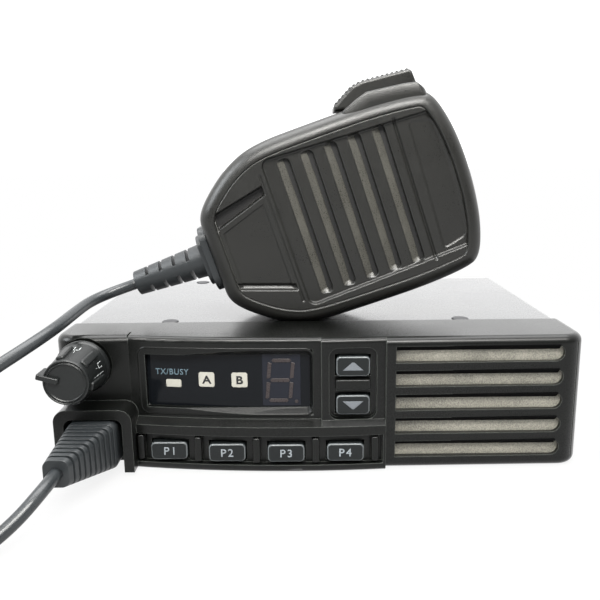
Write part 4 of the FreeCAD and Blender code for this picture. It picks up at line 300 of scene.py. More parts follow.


# Front panel
# One moulding of grained black plastic, sealed to the chassis by a rubber gasket. Its display and
# key sections bulge as drums about one upright axis. The rounded rim of the window, the ribs
# between the keys and the slanted upper walls of the speaker slots are finer pieces on it. Those
# walls are near black and dull, a painted shade.

# Its edges are lightened strongly as a painted highlight.
panel_plastic = grained("panel_plastic", (11, 12, 11), 0.3, depth_mm=0.024, grain_mm=0.3, edge_light=16.0,
                        edge_mm=0.4, mottle=0.18, Specular_IOR_Level=0.1, Coat_Weight=1.0, Coat_IOR=1.28,
                        Coat_Roughness=0.28)
dress(panel_plastic, "front_panel")
dress(grained("gasket_rubber", (22, 22, 22), 0.7), "panel_gasket")
# Near black and dull: painted shade on the slots' upper walls.
painted_slot_shade = grained("painted_slot_shade", (6, 6, 7), 0.7, edge_light=0, Specular_IOR_Level=0.05)
drum_x, drum_y = -5.7, 254.8
window_drum, key_drum, arrow_drum = 308.3, 312.0, 310.0
key_pitch = 17.8


def face_y(radius, x):
    """Y of a drum face at x: the drum's axis less the leg of a right triangle."""
    return drum_y - np.sqrt(radius**2 - (np.asarray(x) - drum_x)**2)


def solid(name, points, faces, material, body, smooth=True):
    """Mesh with merged doubles and faces turned outwards, riding on a body."""
    merged, collapsed = 0.002 * MM, 0.001 * MM
    mesh = bpy.data.meshes.new(name)
    mesh.from_pydata((np.asarray(points) * MM).tolist(), [], faces)
    work = bmesh.new()
    work.from_mesh(mesh)
    bmesh.ops.remove_doubles(work, verts=work.verts, dist=merged)
    bmesh.ops.dissolve_degenerate(work, edges=work.edges, dist=collapsed)
    bmesh.ops.recalc_face_normals(work, faces=work.faces)
    work.to_mesh(mesh)
    work.free()
    if smooth:
        mesh.shade_smooth()
    mesh.materials.append(material)
    piece = new_object(name, mesh)
    if smooth:
        piece.modifiers.new("even_normals", "WEIGHTED_NORMAL").keep_sharp = True
    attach(piece, body)
    return piece


def grid_quads(index):
    """Quads between the neighbours in a grid of point numbers."""
    return np.stack([index[:-1, :-1], index[:-1, 1:], index[1:, 1:], index[1:, :-1]], axis=-1).reshape(-1, 4)


def loft_faces(rows, columns, first=0, closed=False):
    """Quads between closed loops, and caps on the first and the last one unless the loops close too."""
    index = first + np.arange(rows * columns).reshape(rows, columns)
    index = np.hstack([index, index[:, :1]])
    if closed:
        index = np.vstack([index, index[:1]])
    faces = grid_quads(index).tolist()
    if not closed:
        faces += [index[0, :-1][::-1].tolist(), index[-1, :-1].tolist()]
    return faces


def loft(name, parts, material, body, closed=False, smooth=True):
    """Solid of one part or more, each of closed loops: (rows, columns, xyz) in millimetres."""
    points, faces = [], []
    for loops in map(np.asarray, parts):
        faces += loft_faces(*loops.shape[:2], sum(map(len, points)), closed)
        points.append(loops.reshape(-1, 3))
    return solid(name, np.concatenate(points), faces, material, body, smooth)


def corner_loop(left, bottom, right, top, radius, steps=6, runs=(1, 1)):
    """Rounded rectangle as x and z, with the same number of points whatever its size.

    A quarter arc at each corner, then a straight run of evenly spaced points to the next one.
    """
    turn = np.linspace(0, math.pi / 2, steps)
    middles = ((right - radius, bottom + radius), (right - radius, top - radius),
               (left + radius, top - radius), (left + radius, bottom + radius))
    arcs = []
    for k, (x, z) in enumerate(middles):
        angle = turn + (k - 1) * math.pi / 2
        arcs.append(np.stack([x + radius * np.cos(angle), z + radius * np.sin(angle)], axis=1))
    loop = []
    for k, arc in enumerate(arcs):
        share = np.arange(1, runs[(k + 1) % 2]) / runs[(k + 1) % 2]
        loop += [arc, arc[-1] + (arcs[(k + 1) % 4][0] - arc[-1]) * share[:, None]]
    return np.concatenate(loop)


def upright(loop, y):
    """Places a loop of x and z at depth y, a number or one value for each point."""
    return np.stack([loop[:, 0], np.broadcast_to(y, len(loop)), loop[:, 1]], axis=1)


def bezel():
    """Ring round the window: for each step of its profile a rounded rectangle and a depth.

    The depth is measured backwards from the panel's curved face, so the ring follows the drum.
    """
    left, right, bottom, top = -51.8, -1.9, 18.9, 35.6
    right_share, steps, runs = 0.5, 7, (32, 4)
    profile = [(0.0, 3.0, 1.1), (0.0, 2.05, 1.1), (0.2, 1.85, 1.2), (1.5, 0.15, 2.1), (1.7, 0.0, 2.3),
               (2.05, -0.06, 2.5), (2.35, 0.0, 2.7), (2.5, 0.3, 2.8), (2.5, 3.0, 2.8)]
    rings = []
    for grow, depth, radius in profile:
        loop = corner_loop(left - grow, bottom - grow, right + grow * right_share, top + grow, radius,
                           steps, runs)
        rings.append(upright(loop, face_y(window_drum, loop[:, 0]) + depth))
    return loft("window_bezel", [rings], panel_plastic, "radio", closed=True)


def rib(name, middle, width, bottom, top, drum):
    """Bar between two keys: for each step of its profile a rounded rectangle drawn in, and a depth.

    Its face lies on the drum of the given radius.
    """
    corner, steps = 0.75, 5
    y = float(face_y(drum, middle))
    rings = []
    for inset, depth in ((0.0, 3.0), (0.0, 0.55), (0.08, 0.3), (0.25, 0.08), (0.5, 0.0)):
        loop = corner_loop(middle - width / 2 + inset, bottom + inset, middle + width / 2 - inset,
                           top - inset, corner - inset, steps)
        rings.append(upright(loop, y + depth))
    return loft(name, [rings], panel_plastic, "radio")


def slot_lips():
    """The upper walls of the speaker slots: wedges that fall from the face back to the mesh, near black as
    painted shade.
    """
    count, first_top, pitch = 5, 8.8, 7.4
    left, right, front, back, fall, root = 23.4, 72.0, -54.5, -52.75, 1.6, 0.1
    for number in range(count):
        top = first_top + pitch * number
        section = np.array([(front, top + root), (front, top), (back, top - fall), (back, top + root)])
        ends = [np.insert(section, 0, x, axis=1) for x in (left, right)]
        loft(f"slot_lip_{number + 1}", [ends], painted_slot_shade, "radio", smooth=False)


def ribs():
    """Five ribs beside and between the lower keys, and a broad one between the arrow keys."""
    first, count, width = -53.8, 5, 2.3
    for number in range(count):
        rib(f"key_rib_{number + 1}", first + key_pitch * number, width, 3.1, 11.0, key_drum)
    rib("arrow_rib", 10.9, 10.6, 25.2, 28.4, arrow_drum)


slot_lips()
bezel()
ribs()


# Display window
# A curved pane of smoked acrylic, bonded into a seat in the panel. Its words and pale fields are
# printed on the back of the real one and show through; here they lie on its face. The digit behind
# it is unlit.

pane_drum = 306.2
smoked_acrylic = grained("smoked_acrylic", (13, 15, 18), 0.06, depth_mm=0.0004, mottle=0.04, edge_mm=0.15,
                         edge_light=0.2, Specular_IOR_Level=0.15)
cream_field = grained("cream_field", (160, 158, 149), 0.35, depth_mm=0.003, mottle=0.04, edge_light=0)
steel_print = grained("steel_print", (92, 112, 122), 0.4, depth_mm=0.002, mottle=0.1, edge_light=0)
black_print = grained("black_print", (18, 19, 21), 0.4, depth_mm=0.002, mottle=0.05, edge_light=0)
digit_face = grained("digit_face", (25, 27, 34), 0.12, depth_mm=0.001, mottle=0.05, edge_light=0,
                     Specular_IOR_Level=0.2)
digit_stroke = grained("digit_stroke", (43, 36, 36), 0.3, depth_mm=0.001, edge_light=0)


def pane():
    """Curved plate: a rounded rectangle in depth and height, carried along the drum."""
    left, right, bottom, top, thickness, corner, columns = -52.4, -1.3, 18.3, 36.2, 1.3, 0.25, 60
    section = corner_loop(0, bottom, thickness, top, corner, 4)
    loops = []
    for x in np.linspace(left, right, columns):
        y = float(face_y(pane_drum, x))
        loops.append(np.stack([np.full(len(section), x), y + section[:, 0], section[:, 1]], axis=1))
    piece = loft("smoked_window", [loops], smoked_acrylic, "radio")
    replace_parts(piece, "display_window")


# Marks start a little inside the face that carries them and stand out by layers of ink.
mark_root, ink = 0.02, 0.03


def prisms(name, outlines, ground, thickness, material, body):
    """Flat marks: outlines of x and z, raised by a thickness above the surface y = ground(x, z)."""
    parts = []
    for outline in outlines:
        outline = np.asarray(outline, float)
        y = ground(*outline.T)
        parts.append([upright(outline, y + mark_root), upright(outline, y - thickness)])
    return loft(name, parts, material, body, smooth=False)


def curve_mesh(name, data):
    """Mesh of a curve or a text and its points, read through an object that is then removed."""
    carrier = new_object(name, data)
    bpy.context.view_layer.update()
    mesh = bpy.data.meshes.new_from_object(carrier)
    bpy.data.objects.remove(carrier)
    return mesh, np.array([v.co for v in mesh.vertices])


def lettering(name, words, height, middle, ground, thickness, material, body, spacing=1.0, widen=1.0,
              bold=0.012):
    """Words of a plain typeface: centred on a point of x and z, raised above y = ground(x, z)."""
    data = bpy.data.curves.new(name, "FONT")
    data.body = words
    data.space_character = spacing
    data.extrude = 0.5
    data.offset = bold
    flat, points = curve_mesh(name, data)
    low, high = points.min(axis=0), points.max(axis=0)
    scale = height / (high[1] - low[1])
    x = middle[0] + (points[:, 0] - (low[0] + high[0]) / 2) * scale * widen
    z = middle[1] + (points[:, 1] - (low[1] + high[1]) / 2) * scale
    y = ground(x, z) - np.where(points[:, 2] > 0, thickness, -mark_root)
    faces = [list(p.vertices) for p in flat.polygons]
    return solid(name, np.stack([x, y, z], axis=1), faces, material, body, smooth=False)


def on_pane(x, z):
    """Ground for marks on the window: the drum of its face."""
    return face_y(pane_drum, x)


def window_marks():
    """Pale fields as rounded rectangles, TX/BUSY, the fields' letters and the digit's dark field."""
    low, width, height, corner = 25.1, 4.9, 4.7, 0.7
    lefts = {"A": -35.8, "B": -25.7}
    fields = [corner_loop(left, low, left + width, low + height, corner) for left in lefts.values()]
    fields.append(corner_loop(-46.0, 24.8, -41.2, 27.3, 0.5))
    prisms("lit_fields", fields, on_pane, ink, cream_field, "radio")
    lettering("mark_tx_busy", "TX/BUSY", 1.9, (-44.0, 29.7), on_pane, ink, steel_print, "radio", 1.15, 0.9)
    for letter, left in lefts.items():
        lettering(f"mark_{letter.lower()}", letter, 2.6, (left + 2.5, low + 2.3), on_pane, 2 * ink,
                  black_print, "radio", widen=1.1, bold=0.03)
    prisms("digit_field", [corner_loop(-16.3, 19.3, -4.7, 35.9, 0.2)], on_pane, 3 * ink, digit_face, "radio")


def digit_strokes():
    """The seven strokes of the unlit digit as slanted bars, and its dot."""
    width, slant, tip, cut, far_cut = 1.15, 0.075, 0.5, 0.5, 0.8
    left, right, low, middle, high = -14.9, -7.9, 21.0, 27.4, 33.6
    half, bars = width / 2, []
    for x in (left, right):
        for bottom, top in ((low, middle), (middle, high)):
            foot, head = x + slant * (bottom - low), x + slant * (top - low)
            bars.append([(foot - half, bottom + cut), (foot + half, bottom + far_cut),
                         (head + half, top - far_cut), (head - half, top - cut)])
    for z in (low, middle, high):
        start, end = left + slant * (z - low) + tip, right + slant * (z - low) - tip
        bars.append([(start, z), (start + cut, z - half), (end - cut, z - half), (end, z),
                     (end - cut, z + half), (start + cut, z + half)])
    bars.append(corner_loop(-6.6, 20.1, -5.5, 21.2, 0.5))
    prisms("digit_strokes", bars, on_pane, 4 * ink, digit_stroke, "radio")


pane()
window_marks()
digit_strokes()
dress(cream_field, "status_lamp", "channel_lamp_a", "channel_lamp_b")
dress(digit_face, "digit_display")


# Keys
# Six caps of soft-feel silicone rubber, moulded with a flange that holds each behind the panel's
# wall and a stem over its dome in the mat. Letters and arrows are printed on them in light grey.

key_rubber = grained("key_rubber", (19, 22, 23), 0.4, depth_mm=0.01, grain_mm=0.2, edge_light=2.2,
                     Specular_IOR_Level=0.3)
key_print = grained("key_print", (134, 140, 145), 0.45, depth_mm=0.004, mottle=0.08, edge_light=0)
arrow_print = grained("arrow_print", (98, 102, 107), 0.45, depth_mm=0.004, mottle=0.08, edge_light=0)
# The lighter grey on the caps' rounded edges is a painted highlight.
painted_key_highlight = grained("painted_key_highlight", (84, 88, 90), 0.35, depth_mm=0.006, grain_mm=0.2, edge_light=0)
dress(key_rubber, "key_mat")


def key(name):
    """Cap: rounded rectangles of x and z from the stem to the face, each at its depth."""
    low, high = (np.array(corner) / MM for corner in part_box(name))
    flange, stem_w, stem_h, flange_back, flange_front = 1.1, 1.5, 1.0, 6.1, 4.9
    x, z = (low[0] + high[0]) / 2, (low[2] + high[2]) / 2
    half_w, half_h = (high[0] - low[0]) / 2 - flange, (high[2] - low[2]) / 2 - flange
    front, back = low[1], high[1]
    profile = [(-flange, 1.6, flange_back), (-flange, 1.6, flange_front), (0, 1.35, flange_front),
               (0, 1.35, 0.75), (0.06, 1.3, 0.42), (0.22, 1.2, 0.18), (0.45, 1.0, 0.04), (0.8, 0.8, 0)]
    steps = [(stem_w, stem_h, 0.2, y) for y in (back, front + flange_back)]
    steps += [(half_w - inset, half_h - inset, corner, front + depth) for inset, corner, depth in profile]
    rings = [upright(corner_loop(x - w, z - h, x + w, z + h, r, 7), y) for w, h, r, y in steps]
    piece = loft(f"{name}_cap", [rings], key_rubber, name)
    paint_key_edge_highlight(piece, front)
    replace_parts(piece, name)
    return x, z, front


def face_values(mesh, kind):
    """Centres or normals of the faces, a row for each."""
    values = np.empty(len(mesh.polygons) * 3)
    mesh.polygons.foreach_get(kind, values)
    return values.reshape(-1, 3)


def paint_key_edge_highlight(piece, front):
    """Painted highlight as a second, lighter material on the rounded edge's faces, told by how far they turn
    from the front.
    """
    least, most, reach = 0.3, 0.93, 0.5
    mesh = piece.data
    mesh.materials.append(painted_key_highlight)
    turned, y = -face_values(mesh, "normal")[:, 1], face_values(mesh, "center")[:, 1] / MM
    edge = (turned > least) & (turned < most) & (y < front + reach)
    mesh.polygons.foreach_set("material_index", edge.astype(int))


def flat(y):
    """Ground for marks on a flat face at depth y."""
    return lambda x, z: x * 0 + y


def arrow(name, way):
    """Triangle with a blunt tip and a broad base, pointing up or down."""
    half_base, half_tip, below, above = 3.1, 0.3, 1.2, 1.3
    x, z, front = key(name)
    foot, tip = z - below * way, z + above * way
    outline = [(x - half_base, foot), (x + half_base, foot), (x + half_tip, tip), (x - half_tip, tip)][::way]
    prisms(f"{name}_arrow", [outline], flat(front), ink, arrow_print, name)


for number in range(1, 5):
    x, z, front = key(f"key_p{number}")
    lettering(f"key_p{number}_print", f"P{number}", 2.5, (x, z), flat(front), ink, key_print,
              f"key_p{number}", 1.25)
arrow("up_key", 1)
arrow("down_key", -1)


# Speaker
# A loudspeaker with a pressed steel frame, a paper cone and a ferrite magnet. It sits behind the
# panel's slots, with a sheet of woven metal mesh in between.

dress(grained("speaker_metal", (150, 150, 152), 0.4, Metallic=1.0, depth_mm=0.01), "speaker_frame",
      "volume_control", "filter_capacitors", "mic_capsule")
dress(grained("mesh_weave", (122, 120, 111), 0.7, grain_mm=0.3, depth_mm=0.08, mottle=0.5, edge_mm=0.05,
              edge_light=0), "speaker_mesh")
dress(grained("paper_cone", (36, 36, 36), 0.85, grain_mm=0.5, depth_mm=0.05), "speaker_cone")
dress(grained("ferrite", (52, 52, 55), 0.6), "speaker_magnet")


# Volume knob
# Moulded in soft-feel plastic and pushed onto the flatted shaft of the volume control: a cap with a
# pointer fin, over a widening collar with grip bars and printed level marks.

knob_rubber = grained("knob_rubber", (21, 23, 23), 0.34, depth_mm=0.01, grain_mm=0.25, edge_light=2.0,
                      Specular_IOR_Level=0.4)
dress(knob_rubber, "volume_knob")
knob_x, knob_z, knob_front = -70.4, 32.1, -66.3
cone_start, cone_radius, cone_slope = 3.0, 6.72, 0.0783
pointer_angle, bar_angle, bar_count = 165, 60, 5


def round_knob(angle, radius, depth, across=0):
    """World place from an angle in degrees, a radius, a depth behind the front and a way across."""
    turn = np.radians(angle)
    x = knob_x + radius * np.cos(turn) - across * np.sin(turn)
    z = knob_z + radius * np.sin(turn) + across * np.cos(turn)
    return np.stack(np.broadcast_arrays(x, knob_front + depth, z), axis=-1)


def knob_body():
    """A profile of radius and depth turned about the shaft, from the dished face to the back rim."""
    sides = 96
    profile = [(0.05, 0.45), (5.1, 0.45), (5.25, 0.35), (5.4, 0.1), (5.55, 0.05), (5.7, 0.15), (5.8, 0.45),
               (6.0, 0.5), (6.1, 0.3), (6.25, 0.1), (6.45, 0.2), (6.6, 0.55), (6.63, 1.2), (6.7, 1.35),
               (6.72, 3.0), (7.55, 13.6), (7.75, 14.1), (8.1, 14.6), (8.15, 15.5), (8.0, 15.85), (3.4, 15.85)]
    angles = np.linspace(0, 360, sides, endpoint=False)
    rings = [round_knob(angles, radius, depth) for radius, depth in profile]
    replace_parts(loft("knob_cap", [rings], knob_rubber, "knob"), "volume_knob")


def knob_bar(name, angle):
    """Raised bar along the collar: rounded rectangles stacked outwards, following its slope."""
    half, front, back, corner, slope = 1.25, 1.9, 11.0, 0.7, 0.075
    rings = []
    for inset, radius in ((0, 5.5), (0, 6.85), (0.12, 7.1), (0.35, 7.22), (0.6, 7.25)):
        w, y = corner_loop(inset - half, front + inset, half - inset, back - inset, corner - inset, 5).T
        rings.append(round_knob(angle, radius + y * slope, y, w))
    loft(name, [rings], knob_rubber, "knob")


def knob_fin():
    """Pointer: its side view, a rounded rectangle of radius and depth, drawn in towards both flanks."""
    inner, outer, front, back, corner = 1.9, 8.35, -0.75, 6.0, 0.6
    rings = []
    for inset, w in ((0.35, -0.8), (0.1, -0.72), (0, -0.5), (0, 0.5), (0.1, 0.72), (0.35, 0.8)):
        r, y = corner_loop(inner + inset, front + inset, outer - inset, back - inset, corner - inset, 5).T
        rings.append(round_knob(pointer_angle, r, y, w))
    loft("knob_pointer", [rings], knob_rubber, "knob")


def knob_marks():
    """Level marks: thin bars on the cone, from one angle to another and from one depth to another."""
    marks = [(-1, 0.4, 4.6, 11.2), (12, 25, 8.6, 8.95), (12, 13.6, 8.6, 11.0), (23.4, 25, 8.6, 11.0),
             (16, 17.5, 6.6, 7.6), (78, 92, 8.6, 8.95), (78, 79.6, 8.6, 11.2), (90.4, 92, 8.6, 11.2),
             (84, 85.6, 6.4, 7.6), (-11, -7.5, 7.6, 8.1), (-62, -60.5, 5, 11)]
    under, over = -0.1, 0.05
    parts = []
    for low, high, front, back in marks:
        angles = np.array((low, high, high, low))
        y = np.array((front, front, back, back))
        cone = cone_radius + (y - cone_start) * cone_slope
        parts.append([round_knob(angles, cone + lift, y) for lift in (under, over)])
    loft("knob_print", parts, knob_print, "knob", smooth=False)


knob_print = grained("knob_print", (168, 172, 172), 0.45, depth_mm=0.004, mottle=0.08, edge_light=0)
knob_body()
for number in range(1, bar_count + 1):
    knob_bar(f"knob_bar_{number}", pointer_angle + bar_angle * number)
knob_fin()
knob_marks()
dress(grained("bright_metal", (205, 205, 205), 0.2, Metallic=1.0, depth_mm=0.003), "volume_shaft",
      "antenna_connector", "hang_button", "rf_shield")


# Jack and plug
# An eight-way modular jack on the panel's board takes the cord's plug. Both are black mouldings with
# gold-plated contacts. The boot is soft PVC moulded round the cord, ribbed so that it can bend.

dress(grained("boot_rubber", (33, 36, 38), 0.4, depth_mm=0.01, grain_mm=0.3, edge_light=1.0), "plug_boot",
      "strain_relief", "capsule_holder")
dress(grained("black_moulding", (24, 24, 25), 0.45), "mic_jack", "power_module", "power_inlet",
      "accessory_connector", "ptt_switch", "mic_plug")
dress(grained("gold_contact", (225, 180, 90), 0.28, Metallic=1.0, depth_mm=0.002), "jack_contacts",
      "plug_contacts", "power_blades", "accessory_pins", "antenna_contact")


# Boards
# Glass fibre under green solder mask. The main one is screwed to posts in the chassis, the others
# sit in the panel and in the handset. What they carry takes the finishes above.

dress(grained("board_green", (30, 88, 52), 0.35, grain_mm=0.8, depth_mm=0.01), "panel_board", "main_board",
      "handset_board")
dress(grained("white_plastic", (225, 225, 218), 0.4, depth_mm=0.004), "antenna_insulator")


# Handset shells
# Front and rear halves of a fist microphone, moulded in black plastic with a fine grain and screwed
# together from behind by three screws. The front one has slots over the microphone, with sloping
# floors, and the rear one stands a little proud.

# Its edges are lightened as a painted highlight.
handset_plastic = grained("handset_plastic", (23, 23, 21), 0.36, edge_light=6.0, edge_mm=0.45, mottle=0.16,
                          Specular_IOR_Level=0.5)
# Painted light on the slot floors; painted shade, near black, in the slits, the neck band and the mesh
# behind.
painted_lit_slot_floor = grained("painted_lit_slot_floor", (60, 59, 54), 0.4, depth_mm=0.05, grain_mm=0.3, mottle=0.35)
painted_deep_shade = grained("painted_deep_shade", (9, 9, 9), 0.6, edge_light=0)
dress(painted_deep_shade, "handset_mesh")
mic_turn = math.radians(18.5)
mic_middle = (8.35, -23.7, 75.1)
mic_axis_t, mic_wall = -0.4, 0.25
lever_pit = (10.0, 36.4, -3.9, 9.9, 6.0)
slot_first, slot_pitch, slot_count, slot_half, slot_t = -11.8, 7.7, 5, 2.0, 0.15
plate_left, plate_right, groove_right = -18.2, 37.9, -20.4
front_level, rear_level = -10.4, 20.8


def on_handset(s, t, y):
    """World place of points given along the handset, across it and through it."""
    x = mic_middle[0] + s * math.cos(mic_turn) - t * math.sin(mic_turn)
    z = mic_middle[2] + s * math.sin(mic_turn) + t * math.cos(mic_turn)
    return np.stack(np.broadcast_arrays(x, mic_middle[1] + y, z), axis=-1)


def drawn_in(corners, inset):
    """Polygon given clockwise, with every side moved inwards: each corner goes along its mitre."""
    along = np.roll(corners, -1, axis=0) - corners
    along = along / np.linalg.norm(along, axis=1)[:, None]
    inwards = np.stack([along[:, 1], -along[:, 0]], axis=1)
    before = np.roll(inwards, 1, axis=0)
    mitre = (inwards + before) / (1 + (inwards * before).sum(axis=1))[:, None]
    return corners + mitre * inset


def mic_outline(inset, steps=24):
    """Handset seen from its face: quadratic B-spline round its control polygon, drawn in."""
    upper = np.array([(-43.5, 8), (-43.4, 14.5), (-38, 20.4), (-29, 26.9), (-19, 30.5), (0, 30.7),
                      (18, 30.7), (33, 29.4), (38.5, 27.2), (41.8, 17), (43.1, 6)])
    corners = drawn_in(np.concatenate([upper, upper[::-1] * (1, -1)]), inset)
    u = np.linspace(0, 1, steps, endpoint=False)[None, :, None]
    before, after = np.roll(corners, 1, axis=0), np.roll(corners, -1, axis=0)
    spline = (0.5 * (1 - u)**2 * before[:, None] + (0.5 + u - u**2) * corners[:, None]
              + 0.5 * u**2 * after[:, None])
    return spline.reshape(-1, 2) + (0, mic_axis_t)


def mic_rim(name, profile, edge, level, way, floor):
    """Side wall and its quarter round, as outlines drawn in step by step, with the lever's pit."""
    last, lip = profile[-1][0], 0.05
    round_off = [(last + edge * (1 - math.cos(a)), level - way * edge * (1 - math.sin(a)))
                 for a in np.linspace(0, math.pi / 2, 12)]
    left, right, front, back, depth = lever_pit
    loops = []
    for inset, y in profile + round_off + [(last + edge + lip, floor)]:
        s, t = mic_outline(inset).T
        in_pit = (s > left) & (s < right) & (t > 0) & (front < y < back)
        loops.append(on_handset(s, np.where(in_pit, t - depth, t), y))
    return loft(name, [loops], handset_plastic, "handset")


def mic_face(name, inset, level, way, relief, floor):
    """Height field inside the drawn-in outline, with a skirt down to a flat floor.

    Lines of the grid outside the outline are held at its edge; y = level less the relief's depth.
    """
    step_s, step_t, reach, start = 0.24, 0.27, 31, 0.01
    loop = mic_outline(inset, 60)
    s = np.arange(loop[:, 0].min() + start, loop[:, 0].max(), step_s)
    limits = []
    for half in (loop[loop[:, 1] <= mic_axis_t], loop[loop[:, 1] > mic_axis_t]):
        half = half[np.argsort(half[:, 0])]
        limits.append(np.interp(s, half[:, 0], half[:, 1])[:, None])
    t = np.clip(np.arange(-reach, reach, step_t)[None, :], *limits)
    s = np.broadcast_to(s[:, None], t.shape)
    y = level - way * relief(s, t)
    index = np.arange(t.size).reshape(t.shape)
    ring = np.concatenate([index[:, 0], index[-1, 1:], index[-2::-1, -1], index[0, -2:0:-1]])
    below = t.size + np.arange(len(ring))
    skirt = np.stack([ring, np.roll(ring, -1), np.roll(below, -1), below], axis=1)
    points = [on_handset(s, t, y).reshape(-1, 3), on_handset(s.flat[ring], t.flat[ring], floor)]
    faces = grid_quads(index).tolist() + skirt.tolist() + [below.tolist()]
    return solid(name, np.concatenate(points), faces, handset_plastic, "handset")


def corner_distance(a, b, radius):
    """Distance outside a corner where two edges meet in a rounding; a and b are those to the edges."""
    a, b = a + radius, b + radius
    return np.minimum(np.maximum(a, b), 0) + np.hypot(np.maximum(a, 0), np.maximum(b, 0)) - radius


def sunk(distance, depth, width=0.5):
    """Depth that sets in smoothly over a width about the edge, where the distance is zero."""
    share = np.clip(0.5 - distance / width, 0, 1)
    return depth * share**2 * (3 - 2 * share)


def between(value, low, high):
    """Distance outside a band, negative inside it."""
    return np.maximum(low - value, value - high)


def neck_top(s):
    """Upper edge of the deep band on the neck: a line that rises along s."""
    return 12.8 + (s + 39.2) * 0.21


def neck_ledge(s):
    """Lower edge of that band, a line that rises faster."""
    return 7.9 + (s + 39.8) * 0.316


def plate_relief(s, t):
    """Sunk plate, its groove on the left, the line on the right and the badge's place."""
    half_width, taper, corner, least, sag = 24, 0.048, 2.5, 1.0, 0.4
    half = half_width - (s + 16) * taper
    plate = corner_distance(between(s, plate_left, plate_right), np.abs(t) - half, corner)
    depth = sunk(plate, least + sag * (t / half_width)**2)
    for left, right, middle, reach, deep in ((-20.2, -19.5, -1, 21, 0.5), (24.0, 24.8, 0, 22.9, 0.8)):
        depth += sunk(np.maximum(between(s, left, right), np.abs(t - middle) - reach), deep, 0.4)
    badge_left, badge_right = 28.2 + t / 60, 37.0 - 0.004 * (t + 1)**2
    badge_end = np.abs(t) - 20.6 + (s - 28) * 0.25
    return depth + sunk(corner_distance(between(s, badge_left, badge_right), badge_end, 1.6), 0.45, 0.55)


def slot_relief(s, t):
    """Slots whose floors slope down to the right, shallow at the lower end, each with a slit."""
    half_length, slit_x, slit_half, slit_length, slit_depth = 22.2, 1.3, 0.5, 20.3, 0.7
    depth = s * 0
    for i in range(slot_count):
        x = s - (slot_first + slot_pitch * i)
        slot = corner_distance(np.abs(x) - slot_half, np.abs(t - slot_t) - half_length, 1.4)
        slope = 0.2 + 0.42 * np.clip(x + slot_half, 0, 2.6) + 2 * np.clip(x - 0.6, 0, 0.5)
        ends = np.clip((t + 22.3) / 1.8, 0.15, 1)
        slit = corner_distance(np.abs(x - slit_x) - slit_half, np.abs(t) - slit_length, 0.4)
        depth += sunk(slot, slope * ends, 0.45) + sunk(slit, slit_depth, 0.3)
    return depth


def neck_relief(s, t):
    """Panel towards the cord: a deep band above it, two shallow steps, and a band below it."""
    top, ledge, low = neck_top(s), neck_ledge(s), -9.1 - (s + 40.3) * 0.347
    ends, depth = between(s, -38.0, groove_right), s * 0
    bands = [(ledge, top, 0, 2.2, 0.6), (low, ledge, 0, 0.5, 0.45), (low - 1, ledge - 2.2, 1.3, 0.5, 0.45),
             (low - 1.8, low, 0, 1.5, 0.5)]
    for lower, upper, shorter, deep, width in bands:
        depth += sunk(np.maximum(between(t, lower, upper), ends + shorter), deep, width)
    return depth


def front_relief(s, t):
    """All that is sunk into the front, down to the deepest that the wall allows."""
    deepest = 3.9
    return np.minimum(plate_relief(s, t) + slot_relief(s, t) + neck_relief(s, t), deepest)


def back_relief(s, t):
    """Three screw wells in the back."""
    radius, well = 2.6, 9.3
    depth = s * 0
    for screw_s, screw_t in ((30, 19), (30, -19), (-33, 0)):
        depth += sunk(np.hypot(s - screw_s, t - screw_t) - radius, well, 0.4)
    return depth


def paint_slot_light_and_shade(piece):
    """Painted light: a lighter material on the slots' sloping floors; painted shade: a darker one on slits
    and neck band.
    """
    lighter, darker = 1, 2
    slots, slot_length, slot_width, floor_right = (-14, 21.2), 21.7, 1.8, 0.7
    neck, over_ledge, under_top = (-37.7, -20.7), 0.5, 0.3
    mesh = piece.data
    mesh.materials.append(painted_lit_slot_floor)
    mesh.materials.append(painted_deep_shade)
    x, _, z = (face_values(mesh, "center") / MM - mic_middle).T
    s = x * math.cos(mic_turn) + z * math.sin(mic_turn)
    t = z * math.cos(mic_turn) - x * math.sin(mic_turn)
    across = (s - slot_first + slot_pitch / 2) % slot_pitch - slot_pitch / 2
    slot = (between(s, *slots) < 0) & (np.abs(t - slot_t) < slot_length) & (np.abs(across) < slot_width)
    band = (between(s, *neck) < 0) & (between(t, neck_ledge(s) + over_ledge, neck_top(s) - under_top) < 0)
    # Index 1 is the painted light on the slot floors, index 2 the painted shade in slits and neck band.
    finish = np.where(slot, np.where(across < floor_right, lighter, darker), band * darker)
    mesh.polygons.foreach_set("material_index", finish)
    return piece


seam = [(1.2, -0.05), (0.5, -0.1), (0.3, -0.35), (mic_wall, -0.8), (mic_wall, -3.85), (mic_wall, -3.95),
        (mic_wall, -5.4)]
front_edge, rear_edge = 5.0, 6.5
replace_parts(mic_rim("mic_front_rim", seam, front_edge, front_level, -1, -6.0), "handset_front_shell")
face_inset = mic_wall + front_edge - 0.01
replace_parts(paint_slot_light_and_shade(mic_face("mic_front_face", face_inset, front_level, -1, front_relief, -6.2)),
            "handset_front_shell")
seam = [(1.2, 0.05), (0.15, 0.1), (0.0, 0.35), (0.0, 9.85), (0.0, 9.95), (0.0, 14.3)]
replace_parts(mic_rim("mic_rear_rim", seam, rear_edge, rear_level, 1, 11.0), "handset_rear_shell")
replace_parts(mic_face("mic_rear_face", rear_edge, rear_level, 1, back_relief, 11.2), "handset_rear_shell")


# Talk lever
# A moulded lever that rocks about a barrel in a raised collar on top of the handset. Fine teeth
# across its top give the thumb a grip.

